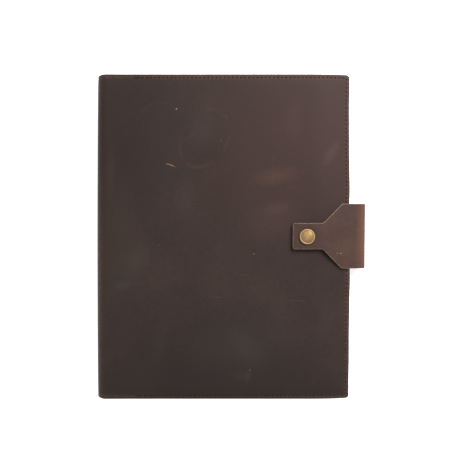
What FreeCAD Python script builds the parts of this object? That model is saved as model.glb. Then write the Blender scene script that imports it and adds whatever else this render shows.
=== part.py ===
"""Leather notebook cover with a snap tab, closed round a hardback notebook.

The cover lies closed on its back. X runs from the spine to the fore edge, Y up the page and
Z through the thickness. The origin is at the middle of the bounding box's bottom face.
Lengths are in millimetres and angles in degrees. A distance called "from the spine" starts at
the outermost line of the rounded spine; across() turns it into a place on X.
"""
import FreeCAD, Part
import math
import os
import Sketcher

DIMENSIONS = {
    # The hide: one sheet that wraps round as back cover, spine and front cover.
    "cover_width": (247.65, "spine to fore edge, closed"),
    "cover_height": (317.5, "head to tail"),
    "cover_thickness": (18.6, "outer face to outer face at the spine"),
    "hide_thickness": (2.0, "cover leather"),
    "droop_start": (221.0, "from the spine to where the front cover leaves the notebook"),
    "droop": (4.0, "how far the front fore edge hangs below the front cover's flat part"),
    "corner_radius": (3.5, "fore-edge corners"),
    "lip_angle": (31.0, "arc of a bend that stays on the flat panel beside it"),
    "shell_angle": (36.0, "arc at which the bend's own piece begins"),
    # The pockets, sewn on three sides, that the notebook's boards slide into.
    "pocket_start": (36.0, "from the spine to a pocket's open edge"),
    "pocket_sheet": (1.2, "pocket leather"),
    "seam_margin": (6.0, "sewn border of a pocket"),
    "slot_depth": (2.3, "space in a pocket for a board"),
    # The thread.
    "seam_inset": (3.2, "edge to stitch line"),
    "thread_width": (0.9, "width of the stitch line"),
    "thread_proud": (0.3, "stitches above the front cover"),
    "groove_depth": (0.4, "stitch groove in the back cover"),
    # The tab: root, fold and flap are one strap.
    "strap_thickness": (2.0, "tab leather"),
    "tab_reach": (15.85, "fore edge to the outside of the fold"),
    "fold_radius": (5.5, "outer radius of the fold's two bends"),
    "root_start": (235.0, "from the spine to the sewn-in end of the tab"),
    "tab_width": (63.5, "tab at the fore edge"),
    "shoulder": (239.7, "from the spine to where the flap begins to narrow"),
    "neck": (220.7, "from the spine to where the tongue begins"),
    "tongue_width": (25.4, "tongue"),
    "tongue_end": (191.3, "from the spine to the end of the tongue"),
    "tongue_corner": (2.0, "tongue corner radius"),
    "clearance": (0.3, "gap between pieces that lie loose on each other"),
    "ramp_low": (249.0, "from the spine to where the flap begins to rise"),
    "ramp_high": (219.0, "from the spine to where the flap is level again"),
    "snap_gap": (3.0, "front cover to flap at the snap"),
    # The snap fastener.
    "snap_place": (205.2, "from the spine to the snap's centre"),
    "cap_radius": (7.5, "cap"),
    "cap_height": (2.6, "cap above the flap"),
    "cap_rim": (1.1, "width of the cap's raised rim"),
    "dome_rise": (1.2, "cap's dome above its edge at the rim"),
    "rim_rise": (1.95, "crest of the cap's rim above the flap"),
    "rim_round": (0.605, "radius of the rim's rounded crest"),
    "socket_radius": (6.0, "socket"),
    "socket_plate": (0.6, "socket's top plate"),
    "socket_depth": (2.1, "socket below the flap"),
    "socket_mouth": (3.1, "radius of the socket's mouth"),
    "socket_skirt": (4.32, "radius of the socket's lower part"),
    "socket_step": (1.155, "depth of the socket's wide upper part"),
    "barrel_radius": (1.9, "barrels of the cap and of the post"),
    "barrel_play": (0.05, "gap round a barrel"),
    "stud_flange": (5.8, "radius of the stud's flange"),
    "stud_plate": (0.7, "stud's flange"),
    "stud_radius": (2.7, "stud's head, at its widest"),
    "stud_height": (2.1, "stud above the front cover"),
    "stud_waist": (2.4, "radius of the stud's waist, above its flange"),
    "stud_crest": (2.5, "radius of the stud's top"),
    "stud_swell": (0.6, "flange to the widest part of the stud's head"),
    "post_flange": (5.5, "radius of the post's flange"),
    "post_plate": (0.5, "post's flange"),
    "post_recess": (0.3, "how deep the post's flange sits in the hide"),
    "post_reach": (1.26, "post above the front cover, inside the stud"),
    # The notebook.
    "board_start": (9.9, "from the spine to the boards"),
    "board_end": (219.5, "from the spine to the boards' fore edges"),
    "board_height": (302.0, "boards, head to tail"),
    "board_thickness": (1.7, "boards"),
    "board_lift": (0.4, "board to the cover leather"),
    "page_start": (10.4, "from the spine to the pages"),
    "page_end": (218.4, "from the spine to the pages' fore edges"),
    "page_height": (297.0, "pages, head to tail"),
    "cloth_start": (8.6, "from the spine to the notebook's spine cloth"),
    "cloth_thickness": (0.8, "the notebook's spine cloth"),
    "cloth_inset": (3.7, "spine cloth to either outer face of the cover"),
}
SMALL_MARGIN = "5"   # how far a cutting sketch runs past the piece it cuts
TOUCHING = 0.01      # how near two places are when they count as the same


def across(distance):
    """A distance from the spine, as a place on X."""
    return f"({distance} - (dims.cover_width + dims.tab_reach) / 2)"


# Places that several pieces share, as expressions of the sheet.
BEND_RADIUS = "(dims.cover_thickness / 2)"
BEND_INSIDE = "(dims.cover_thickness / 2 - dims.hide_thickness)"
SPINE_TANGENT = across(BEND_RADIUS)
FORE_EDGE = across("dims.cover_width")
DROOP_START = across("dims.droop_start")
POCKET_START = across("dims.pocket_start")
HALF_HEIGHT = "(dims.cover_height / 2)"
FRONT_INSIDE = "(dims.cover_thickness - dims.hide_thickness)"
FORE_TOP = "(dims.cover_thickness - dims.droop)"
FOLD_TANGENT = across("(dims.cover_width + dims.tab_reach - dims.fold_radius)")
FOLD_INSIDE = "(dims.fold_radius - dims.strap_thickness)"
FOLD_LOW = "(dims.hide_thickness + dims.fold_radius)"
FLAP_LOW = f"({FORE_TOP} + dims.clearance)"
FOLD_HIGH = f"({FLAP_LOW} + dims.strap_thickness - dims.fold_radius)"
FLAP_UNDERSIDE = "(dims.cover_thickness + dims.snap_gap)"
FLAP_TOP = f"({FLAP_UNDERSIDE} + dims.strap_thickness)"
BARREL_HOLE = "(dims.barrel_radius + dims.barrel_play)"


def on_bend(centre_x, centre_z, radius, angle, right, up):
    """The point of a bend at an angle measured from its horizontal tangent."""
    x = f"{centre_x} {'+' if right else '-'} {radius} * sin({angle} * 1 deg)"
    z = f"{centre_z} {'+' if up else '-'} {radius} * cos({angle} * 1 deg)"
    return x, z


def front_height(distance, level):
    """Height on the front cover's drooping part, at a distance from the spine."""
    run = "(dims.cover_width - dims.droop_start)"
    return f"({level} - dims.droop * ({distance} - dims.droop_start) / {run})"


def fill_sheet(doc):
    """The spreadsheet that drives every sub-part."""
    sheet = doc.addObject("Spreadsheet::Sheet", "dims")
    for row, (alias, (number, note)) in enumerate(DIMENSIONS.items(), start=1):
        sheet.set(f"A{row}", alias)
        sheet.set(f"B{row}", str(number))
        sheet.setAlias(f"B{row}", alias)
        sheet.set(f"C{row}", note)
    doc.recompute()
    return sheet


class Corner:
    """One corner of an outline, and the edge that arrives at it.

    The edge is straight, or an arc of the given radius whose centre lies to the left or to
    the right of the way the outline runs.
    """

    def __init__(self, x, y, radius=None, centre_side=None):
        self.x = x
        self.y = y
        self.radius = radius
        self.centre_side = centre_side


class Builder:
    """Makes sub-parts in one document, with sizes bound to its sheet."""

    def __init__(self, doc, sheet):
        self.doc = doc
        self.sheet = sheet

    def number(self, expression):
        return float(self.sheet.evalExpression(expression))

    def body(self, label):
        body = self.doc.addObject("PartDesign::Body", label)
        body.Label = label
        return body

    def sketch(self, body, name, plane, outlines, offset=None):
        """A sketch on one of the body's origin planes, made of closed outlines.

        offset is a pair of an axis letter of the sketch and the distance to move along it.
        """
        support = [o for o in body.Origin.OriginFeatures if o.Role == plane][0]
        sketch = body.newObject("Sketcher::SketchObject", name)
        sketch.AttachmentSupport = [(support, "")]
        sketch.MapMode = "FlatFace"
        if offset:
            axis, distance = offset
            sketch.setExpression(f"AttachmentOffset.Base.{axis}", distance)
        for corners in outlines:
            self.outline(sketch, corners)
        return sketch

    def outline(self, sketch, corners):
        """Adds a closed outline whose corners and radii are bound to the sheet."""
        places = [(self.number(c.x), self.number(c.y)) for c in corners]
        ends = []
        for index, corner in enumerate(corners):
            ends.append(self.edge(sketch, places[index - 1], places[index], corner))
        for index, corner in enumerate(corners):
            edge, _, last = ends[index]
            following, first, _ = ends[(index + 1) % len(corners)]
            sketch.addConstraint(Sketcher.Constraint("Coincident", edge, last, following, first))
            for kind, expression in (("DistanceX", corner.x), ("DistanceY", corner.y)):
                place = self.number(expression)
                rule = Sketcher.Constraint(kind, -1, 1, edge, last, place)
                sketch.setExpression(f"Constraints[{sketch.addConstraint(rule)}]", expression)
            if corner.radius:
                size = self.number(corner.radius)
                rule = Sketcher.Constraint("Radius", edge, size)
                sketch.setExpression(f"Constraints[{sketch.addConstraint(rule)}]", corner.radius)

    def edge(self, sketch, start, end, corner):
        """Adds one edge; returns its number and which of its ends is first and last."""
        first = FreeCAD.Vector(start[0], start[1], 0)
        last = FreeCAD.Vector(end[0], end[1], 0)
        if not corner.radius:
            return sketch.addGeometry(Part.LineSegment(first, last)), 1, 2
        radius = self.number(corner.radius)
        chord = last - first
        left = FreeCAD.Vector(-chord.y, chord.x, 0).normalize()
        reach = math.sqrt(max(radius ** 2 - (chord.Length / 2) ** 2, 0))
        side = 1 if corner.centre_side == "left" else -1
        centre = (first + last) * 0.5 + left * (reach * side)
        begin, finish = (first, last) if side == 1 else (last, first)
        turn = [math.atan2(p.y - centre.y, p.x - centre.x) for p in (begin, finish)]
        circle = Part.Circle(centre, FreeCAD.Vector(0, 0, 1), radius)
        number = sketch.addGeometry(Part.ArcOfCircle(circle, turn[0], turn[1]))
        return (number, 1, 2) if side == 1 else (number, 2, 1)

    def across_height(self, body, name, outline, height, cut=False):
        """Pads or cuts a side profile evenly both ways along Y."""
        sketch = self.sketch(body, f"{name}_profile", "XZ_Plane", [outline])
        feature = body.newObject("PartDesign::Pocket" if cut else "PartDesign::Pad", name)
        feature.Profile = sketch
        feature.SideType = "Symmetric"
        feature.setExpression("Length", height)
        self.doc.recompute()
        return feature

    def upwards(self, body, name, outlines, bottom, length, cut=False):
        """Pads or cuts a plan outline upwards from a height."""
        sketch = self.sketch(body, f"{name}_plan", "XY_Plane", outlines, ("z", bottom))
        before = body.Shape.Volume if cut else 0.0
        feature = body.newObject("PartDesign::Pocket" if cut else "PartDesign::Pad", name)
        feature.Profile = sketch
        feature.Reversed = cut
        feature.setExpression("Length", length)
        self.doc.recompute()
        if cut and body.Shape.Volume >= before - 1e-6:
            raise RuntimeError(f"{body.Label}: {name} cut nothing")
        return feature

    def turned(self, label, outline):
        """A body turned round the snap's vertical axis; the outline is radius and height."""
        body = self.body(label)
        place = ("x", across("dims.snap_place"))
        sketch = self.sketch(body, f"{label}_profile", "XZ_Plane", [outline], place)
        turn = body.newObject("PartDesign::Revolution", f"{label}_turn")
        turn.Profile = sketch
        turn.ReferenceAxis = (sketch, ["V_Axis"])
        turn.Angle = 360.0
        self.doc.recompute()
        return body

    def snap_hole(self, body, name, radius, bottom, length):
        """Cuts a round hole upwards on the snap's axis."""
        plane = [o for o in body.Origin.OriginFeatures if o.Role == "XY_Plane"][0]
        sketch = body.newObject("Sketcher::SketchObject", f"{name}_circle")
        sketch.AttachmentSupport = [(plane, "")]
        sketch.MapMode = "FlatFace"
        sketch.setExpression("AttachmentOffset.Base.z", bottom)
        sketch.setExpression("AttachmentOffset.Base.x", across("dims.snap_place"))
        circle = Part.Circle(FreeCAD.Vector(), FreeCAD.Vector(0, 0, 1), self.number(radius))
        edge = sketch.addGeometry(circle)
        sketch.addConstraint(Sketcher.Constraint("Coincident", edge, 3, -1, 1))
        rule = Sketcher.Constraint("Radius", edge, self.number(radius))
        sketch.setExpression(f"Constraints[{sketch.addConstraint(rule)}]", radius)
        hole = body.newObject("PartDesign::Pocket", name)
        hole.Profile = sketch
        hole.Reversed = True
        hole.setExpression("Length", length)
        self.doc.recompute()

    def round_corners(self, body, feature, radius):
        """Rounds the two upright edges at the fore edge's head and tail."""
        fore = self.number(FORE_EDGE)
        half = self.number(HALF_HEIGHT)
        names = []
        for index, edge in enumerate(feature.Shape.Edges, start=1):
            box = edge.BoundBox
            at_fore = abs(box.XMin - fore) < TOUCHING and abs(box.XMax - fore) < TOUCHING
            at_end = abs(abs(box.YMin) - half) < TOUCHING and box.YLength < TOUCHING
            if at_fore and at_end and box.ZLength > TOUCHING:
                names.append(f"Edge{index}")
        rounding = body.newObject("PartDesign::Fillet", f"{body.Name}_corners")
        rounding.Base = (feature, names)
        rounding.setExpression("Radius", radius)
        self.doc.recompute()

    def block(self, label, start, end, height, bottom, top):
        """A plain rectangular piece, centred on Y."""
        block = self.doc.addObject("Part::Box", label)
        block.Label = label
        block.setExpression("Length", f"{end} - {start}")
        block.setExpression("Width", height)
        block.setExpression("Height", f"{top} - {bottom}")
        block.setExpression("Placement.Base.x", across(start))
        block.setExpression("Placement.Base.y", f"-{height} / 2")
        block.setExpression("Placement.Base.z", bottom)
        return block


def rectangle(low_x, high_x, half_y):
    """A plan rectangle, centred on Y."""
    return [Corner(low_x, f"-{half_y}"), Corner(high_x, f"-{half_y}"),
            Corner(high_x, half_y), Corner(low_x, half_y)]


def seam_band():
    """The stitch line's plan: along the head, the fore edge and the tail."""
    outer = "(dims.seam_inset - dims.thread_width / 2)"
    inner = "(dims.seam_inset + dims.thread_width / 2)"
    outer_y = f"({HALF_HEIGHT} - {outer})"
    inner_y = f"({HALF_HEIGHT} - {inner})"
    outer_x = f"({FORE_EDGE} - {outer})"
    inner_x = f"({FORE_EDGE} - {inner})"
    return [Corner(POCKET_START, f"-{outer_y}"), Corner(outer_x, f"-{outer_y}"),
            Corner(outer_x, outer_y), Corner(POCKET_START, outer_y),
            Corner(POCKET_START, inner_y), Corner(inner_x, inner_y),
            Corner(inner_x, f"-{inner_y}"), Corner(POCKET_START, f"-{inner_y}")]


def back_cover_leather(make):
    """The back panel of the hide, with the lip that starts the spine's bend."""
    inner = on_bend(SPINE_TANGENT, BEND_RADIUS, BEND_INSIDE, "dims.lip_angle", False, False)
    outer = on_bend(SPINE_TANGENT, BEND_RADIUS, BEND_RADIUS, "dims.lip_angle", False, False)
    profile = [Corner(FORE_EDGE, "0"), Corner(FORE_EDGE, "dims.hide_thickness"),
               Corner(SPINE_TANGENT, "dims.hide_thickness"),
               Corner(*inner, BEND_INSIDE, "right"), Corner(*outer),
               Corner(SPINE_TANGENT, "0", BEND_RADIUS, "left")]
    body = make.body("back_cover_leather")
    panel = make.across_height(body, "back_panel", profile, "dims.cover_height")
    make.round_corners(body, panel, "dims.corner_radius")
    make.upwards(body, "back_groove", [seam_band()], "0", "dims.groove_depth", cut=True)
    return body


def front_cover_leather(make):
    """The front panel: flat over the notebook, then hanging towards the fore edge."""
    inner = on_bend(SPINE_TANGENT, BEND_RADIUS, BEND_INSIDE, "dims.lip_angle", False, True)
    outer = on_bend(SPINE_TANGENT, BEND_RADIUS, BEND_RADIUS, "dims.lip_angle", False, True)
    profile = [Corner(FORE_EDGE, FORE_TOP),
               Corner(FORE_EDGE, f"{FORE_TOP} - dims.hide_thickness"),
               Corner(DROOP_START, FRONT_INSIDE), Corner(SPINE_TANGENT, FRONT_INSIDE),
               Corner(*inner, BEND_INSIDE, "left"), Corner(*outer),
               Corner(SPINE_TANGENT, "dims.cover_thickness", BEND_RADIUS, "right"),
               Corner(DROOP_START, "dims.cover_thickness")]
    body = make.body("front_cover_leather")
    panel = make.across_height(body, "front_panel", profile, "dims.cover_height")
    make.round_corners(body, panel, "dims.corner_radius")
    make.snap_hole(body, "post_hole", BARREL_HOLE, FRONT_INSIDE, "dims.hide_thickness")
    make.snap_hole(body, "post_seat", "(dims.post_flange + dims.barrel_play)",
                   FRONT_INSIDE, "dims.post_recess")
    return body


def spine_leather(make):
    """The middle of the hide, bent round the notebook's spine."""
    low = [on_bend(SPINE_TANGENT, BEND_RADIUS, r, "dims.shell_angle", False, False)
           for r in (BEND_RADIUS, BEND_INSIDE)]
    high = [on_bend(SPINE_TANGENT, BEND_RADIUS, r, "dims.shell_angle", False, True)
            for r in (BEND_RADIUS, BEND_INSIDE)]
    profile = [Corner(*low[0]), Corner(*high[0], BEND_RADIUS, "right"),
               Corner(*high[1]), Corner(*low[1], BEND_INSIDE, "left")]
    body = make.body("spine_leather")
    make.across_height(body, "spine_shell", profile, "dims.cover_height")
    return body


def back_pocket(make):
    """The back pocket: a thin sheet raised over the board and over the tab's root."""
    raised = "(dims.slot_depth + dims.pocket_sheet)"
    plateau_half = f"({HALF_HEIGHT} - dims.seam_margin)"
    slot_half = f"({plateau_half} - dims.pocket_sheet)"
    slot_end = f"({DROOP_START} - dims.pocket_sheet)"
    root_half = "(dims.tab_width / 2 + dims.clearance)"
    root_low = across("(dims.root_start - dims.clearance)")
    body = make.body("back_pocket")
    whole = rectangle(POCKET_START, FORE_EDGE, HALF_HEIGHT)
    sheet = make.upwards(body, "back_pocket_sheet", [whole],
                         "dims.hide_thickness", "dims.pocket_sheet")
    make.round_corners(body, sheet, "dims.corner_radius")
    plateau = rectangle(POCKET_START, DROOP_START, plateau_half)
    make.upwards(body, "back_plateau", [plateau], "dims.hide_thickness", raised)
    bump = rectangle(f"({root_low} - dims.pocket_sheet)", FORE_EDGE,
                     f"({root_half} + dims.pocket_sheet)")
    make.upwards(body, "root_bump", [bump], "dims.hide_thickness", raised)
    slot = rectangle(f"({POCKET_START} - {SMALL_MARGIN})", slot_end, slot_half)
    make.upwards(body, "back_slot", [slot], "dims.hide_thickness", "dims.slot_depth", cut=True)
    root = rectangle(root_low, f"({FORE_EDGE} + {SMALL_MARGIN})", root_half)
    make.upwards(body, "root_slot", [root], "dims.hide_thickness", "dims.slot_depth", cut=True)
    return body


def front_pocket(make):
    """The front pocket: the same sheet, following the front cover down to the fore edge."""
    sheet_low = f"({FRONT_INSIDE} - dims.pocket_sheet)"
    fore_low = f"({FORE_TOP} - dims.hide_thickness - dims.pocket_sheet)"
    slot_low = f"({FRONT_INSIDE} - dims.slot_depth)"
    slot_end = f"({DROOP_START} - dims.pocket_sheet)"
    sheet = [Corner(POCKET_START, FRONT_INSIDE), Corner(POCKET_START, sheet_low),
             Corner(DROOP_START, sheet_low), Corner(FORE_EDGE, fore_low),
             Corner(FORE_EDGE, f"{FORE_TOP} - dims.hide_thickness"),
             Corner(DROOP_START, FRONT_INSIDE)]
    plateau_low = f"({slot_low} - dims.pocket_sheet)"
    plateau = [Corner(POCKET_START, plateau_low), Corner(DROOP_START, plateau_low),
               Corner(DROOP_START, FRONT_INSIDE), Corner(POCKET_START, FRONT_INSIDE)]
    slot = [Corner(f"{POCKET_START} - {SMALL_MARGIN}", slot_low), Corner(slot_end, slot_low),
            Corner(slot_end, f"{FRONT_INSIDE} + {SMALL_MARGIN}"),
            Corner(f"{POCKET_START} - {SMALL_MARGIN}", f"{FRONT_INSIDE} + {SMALL_MARGIN}")]
    body = make.body("front_pocket")
    first = make.across_height(body, "front_pocket_sheet", sheet, "dims.cover_height")
    make.round_corners(body, first, "dims.corner_radius")
    make.across_height(body, "front_plateau", plateau,
                       "dims.cover_height - 2 * dims.seam_margin")
    make.across_height(body, "front_slot", slot,
                       "dims.cover_height - 2 * (dims.seam_margin + dims.pocket_sheet)", cut=True)
    return body


def back_seam_thread(make):
    """The back cover's stitch line, flush in its groove."""
    body = make.body("back_seam_thread")
    make.upwards(body, "back_stitches", [seam_band()], "0", "dims.groove_depth")
    return body


def front_seam_thread(make):
    """The front cover's stitch line, which follows the drooping fore edge."""
    reach = "(dims.cover_width - dims.seam_inset + dims.thread_width / 2)"
    end = across(reach)
    low = front_height(reach, "dims.cover_thickness")
    top = "(dims.cover_thickness + dims.thread_proud)"
    layer = [Corner(POCKET_START, "dims.cover_thickness"),
             Corner(DROOP_START, "dims.cover_thickness"), Corner(end, low),
             Corner(end, f"{low} + dims.thread_proud"), Corner(DROOP_START, top),
             Corner(POCKET_START, top)]
    outside = "(dims.seam_inset - dims.thread_width / 2)"
    inside = "(dims.seam_inset + dims.thread_width / 2)"
    body = make.body("front_seam_thread")
    make.across_height(body, "front_stitches", layer, f"dims.cover_height - 2 * {outside}")
    window = rectangle(f"({POCKET_START} - {SMALL_MARGIN})", f"({FORE_EDGE} - {inside})",
                       f"({HALF_HEIGHT} - {inside})")
    make.upwards(body, "front_window", [window], "0", "2 * dims.cover_thickness", cut=True)
    return body


def tab_root(make):
    """The end of the tab that is sewn under the back pocket, up to the fold."""
    low = "dims.hide_thickness"
    top = "(dims.hide_thickness + dims.strap_thickness)"
    outer = on_bend(FOLD_TANGENT, FOLD_LOW, "dims.fold_radius", "dims.lip_angle", True, False)
    inner = on_bend(FOLD_TANGENT, FOLD_LOW, FOLD_INSIDE, "dims.lip_angle", True, False)
    start = across("dims.root_start")
    profile = [Corner(start, top), Corner(start, low), Corner(FOLD_TANGENT, low),
               Corner(*outer, "dims.fold_radius", "left"), Corner(*inner),
               Corner(FOLD_TANGENT, top, FOLD_INSIDE, "right")]
    body = make.body("tab_root")
    make.across_height(body, "root_strap", profile, "dims.tab_width")
    return body


def tab_fold(make):
    """The part of the tab that stands past the fore edge, between its two bends."""
    outer = "dims.fold_radius"
    outer_x = f"({FOLD_TANGENT} + {outer})"
    inner_x = f"({FOLD_TANGENT} + {FOLD_INSIDE})"
    angle = "dims.shell_angle"
    profile = [Corner(*on_bend(FOLD_TANGENT, FOLD_LOW, outer, angle, True, False)),
               Corner(outer_x, FOLD_LOW, outer, "left"), Corner(outer_x, FOLD_HIGH),
               Corner(*on_bend(FOLD_TANGENT, FOLD_HIGH, outer, angle, True, True),
                      outer, "left"),
               Corner(*on_bend(FOLD_TANGENT, FOLD_HIGH, FOLD_INSIDE, angle, True, True)),
               Corner(inner_x, FOLD_HIGH, FOLD_INSIDE, "right"), Corner(inner_x, FOLD_LOW),
               Corner(*on_bend(FOLD_TANGENT, FOLD_LOW, FOLD_INSIDE, angle, True, False),
                      FOLD_INSIDE, "right")]
    body = make.body("tab_fold")
    make.across_height(body, "fold_strap", profile, "dims.tab_width")
    return body


def tab_flap(make):
    """The flap: level at the fold, up over the front cover, level again at the snap."""
    fold_top = f"({FLAP_LOW} + dims.strap_thickness)"
    outer = on_bend(FOLD_TANGENT, FOLD_HIGH, "dims.fold_radius", "dims.lip_angle", True, True)
    inner = on_bend(FOLD_TANGENT, FOLD_HIGH, FOLD_INSIDE, "dims.lip_angle", True, True)
    end = across("dims.tongue_end")
    ramp_low = across("dims.ramp_low")
    ramp_high = across("dims.ramp_high")
    profile = [Corner(end, FLAP_TOP), Corner(end, FLAP_UNDERSIDE),
               Corner(ramp_high, FLAP_UNDERSIDE), Corner(ramp_low, FLAP_LOW),
               Corner(FOLD_TANGENT, FLAP_LOW), Corner(*inner, FOLD_INSIDE, "right"),
               Corner(*outer), Corner(FOLD_TANGENT, fold_top, "dims.fold_radius", "left"),
               Corner(ramp_low, fold_top), Corner(ramp_high, FLAP_TOP)]
    body = make.body("tab_flap")
    make.across_height(body, "flap_strap", profile, "dims.tab_width")
    wide = "(dims.tab_width / 2)"
    narrow = "(dims.tongue_width / 2)"
    past_fold = across(f"(dims.cover_width + dims.tab_reach + {SMALL_MARGIN})")
    shoulder = across("dims.shoulder")
    neck = across("dims.neck")
    end_inside = f"({end} + dims.tongue_corner)"
    narrow_inside = f"({narrow} - dims.tongue_corner)"
    plan = [Corner(past_fold, f"-{wide}"), Corner(past_fold, wide), Corner(shoulder, wide),
            Corner(neck, narrow), Corner(end_inside, narrow),
            Corner(end, narrow_inside, "dims.tongue_corner", "left"),
            Corner(end, f"-{narrow_inside}"),
            Corner(end_inside, f"-{narrow}", "dims.tongue_corner", "left"),
            Corner(neck, f"-{narrow}"), Corner(shoulder, f"-{wide}")]
    waste = rectangle(f"({end} - {SMALL_MARGIN})", f"({past_fold} + {SMALL_MARGIN})",
                      f"({wide} + {SMALL_MARGIN})")
    make.upwards(body, "flap_outline", [waste, plan], "0", "2 * dims.cover_thickness", cut=True)
    make.snap_hole(body, "cap_hole", BARREL_HOLE, FLAP_UNDERSIDE, "dims.strap_thickness")
    return body


def snap_cap(make):
    """The cap: a shallow dome inside a raised rim, with a barrel down through the flap."""
    top = f"({FLAP_TOP} + dims.cap_height)"
    rim_inside = "(dims.cap_radius - dims.cap_rim)"
    crest = "(dims.cap_radius - dims.cap_rim / 2)"
    crest_height = f"({FLAP_TOP} + dims.rim_rise)"
    step = f"({FLAP_TOP} + dims.cap_height - dims.dome_rise)"
    dome_radius = f"(({rim_inside} * {rim_inside} / dims.dome_rise + dims.dome_rise) / 2)"
    barrel_low = f"({FLAP_UNDERSIDE} - dims.socket_plate + dims.barrel_play)"
    outline = [Corner("0", barrel_low), Corner("dims.barrel_radius", barrel_low),
               Corner("dims.barrel_radius", FLAP_TOP), Corner("dims.cap_radius", FLAP_TOP),
               Corner("dims.cap_radius", step),
               Corner(crest, crest_height, "dims.rim_round", "left"),
               Corner(rim_inside, step, "dims.rim_round", "left"),
               Corner("0", top, dome_radius, "left")]
    return make.turned("snap_cap", outline)


def snap_socket(make):
    """The socket under the flap, clenched on the cap's barrel."""
    low = f"({FLAP_UNDERSIDE} - dims.socket_depth)"
    plate = f"({FLAP_UNDERSIDE} - dims.socket_plate)"
    step_height = f"({FLAP_UNDERSIDE} - dims.socket_step)"
    outline = [Corner(BARREL_HOLE, FLAP_UNDERSIDE), Corner(BARREL_HOLE, plate),
               Corner("dims.socket_mouth", plate), Corner("dims.socket_mouth", low),
               Corner("dims.socket_skirt", low), Corner("dims.socket_skirt", step_height),
               Corner("dims.socket_radius", step_height),
               Corner("dims.socket_radius", FLAP_UNDERSIDE)]
    return make.turned("snap_socket", outline)


def snap_stud(make):
    """The stud on the front cover that the socket clips over."""
    top = "(dims.cover_thickness + dims.stud_height)"
    plate = "(dims.cover_thickness + dims.stud_plate)"
    outline = [Corner(BARREL_HOLE, "dims.cover_thickness"),
               Corner("dims.stud_flange", "dims.cover_thickness"),
               Corner("dims.stud_flange", plate), Corner("dims.stud_waist", plate),
               Corner("dims.stud_radius", f"{plate} + dims.stud_swell"),
               Corner("dims.stud_crest", top), Corner(BARREL_HOLE, top)]
    return make.turned("snap_stud", outline)


def snap_post(make):
    """The post that holds the stud: a flange inside the front cover and a barrel."""
    low = f"({FRONT_INSIDE} + dims.post_recess - dims.post_plate)"
    seat = f"({FRONT_INSIDE} + dims.post_recess)"
    top = "(dims.cover_thickness + dims.post_reach)"
    outline = [Corner("0", low), Corner("dims.post_flange", low),
               Corner("dims.post_flange", seat), Corner("dims.barrel_radius", seat),
               Corner("dims.barrel_radius", top), Corner("0", top)]
    return make.turned("snap_post", outline)


def notebook(make):
    """The hardback notebook: two boards, the page block and the cloth over its spine."""
    back_low = "(dims.hide_thickness + dims.board_lift)"
    front_top = f"({FRONT_INSIDE} - dims.board_lift)"
    page_low = "(dims.hide_thickness + dims.slot_depth + dims.pocket_sheet + dims.clearance)"
    page_top = f"(dims.cover_thickness - {page_low})"
    cloth_top = "(dims.cover_thickness - dims.cloth_inset)"
    return [
        make.block("notebook_back_board", "dims.board_start", "dims.board_end",
                   "dims.board_height", back_low, f"({back_low} + dims.board_thickness)"),
        make.block("notebook_front_board", "dims.board_start", "dims.board_end",
                   "dims.board_height", f"({front_top} - dims.board_thickness)", front_top),
        make.block("notebook_page_block", "dims.page_start", "dims.page_end",
                   "dims.page_height", page_low, page_top),
        make.block("notebook_spine_cloth", "dims.cloth_start",
                   "(dims.cloth_start + dims.cloth_thickness)", "dims.board_height",
                   "dims.cloth_inset", cloth_top),
    ]


def check(doc, pieces):
    """Stops the build if anything failed to compute or a sub-part is not one sound solid."""
    for item in doc.Objects:
        if "Invalid" in item.State or "Error" in item.State:
            raise RuntimeError(f"{item.Name} is {item.State}")
    for piece in pieces:
        shape = piece.Shape
        if shape.isNull() or not shape.isValid() or len(shape.Solids) != 1:
            raise RuntimeError(f"{piece.Label} is not one sound solid")


def main():
    doc = FreeCAD.newDocument("notebook_cover")
    make = Builder(doc, fill_sheet(doc))
    makers = (back_cover_leather, spine_leather, front_cover_leather, back_pocket,
              front_pocket, back_seam_thread, front_seam_thread, tab_root, tab_fold,
              tab_flap, snap_cap, snap_socket, snap_stud, snap_post)
    pieces = [maker(make) for maker in makers] + notebook(make)
    doc.recompute()
    check(doc, pieces)
    os.makedirs("parts", exist_ok=True)
    for piece in pieces:
        piece.Shape.exportStep(f"parts/{piece.Label}.step")
        box = piece.Shape.BoundBox
        print(f"{piece.Label}: {piece.Shape.Volume:.0f} mm3, X {box.XMin:.2f} {box.XMax:.2f}, "
              f"Y {box.YMin:.2f} {box.YMax:.2f}, Z {box.ZMin:.2f} {box.ZMax:.2f}")


main()
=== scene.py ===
"""Looks of a leather notebook cover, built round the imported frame.

The cover lies closed on its back: X from the spine to the fore edge, Y up the page, Z up.
Lengths are in metres; MM turns millimetres into metres.
"""
import logging
import math
from dataclasses import dataclass
from enum import Enum
from typing import Callable, Sequence

import bmesh
import bpy
import numpy as np
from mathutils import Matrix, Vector, noise


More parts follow.
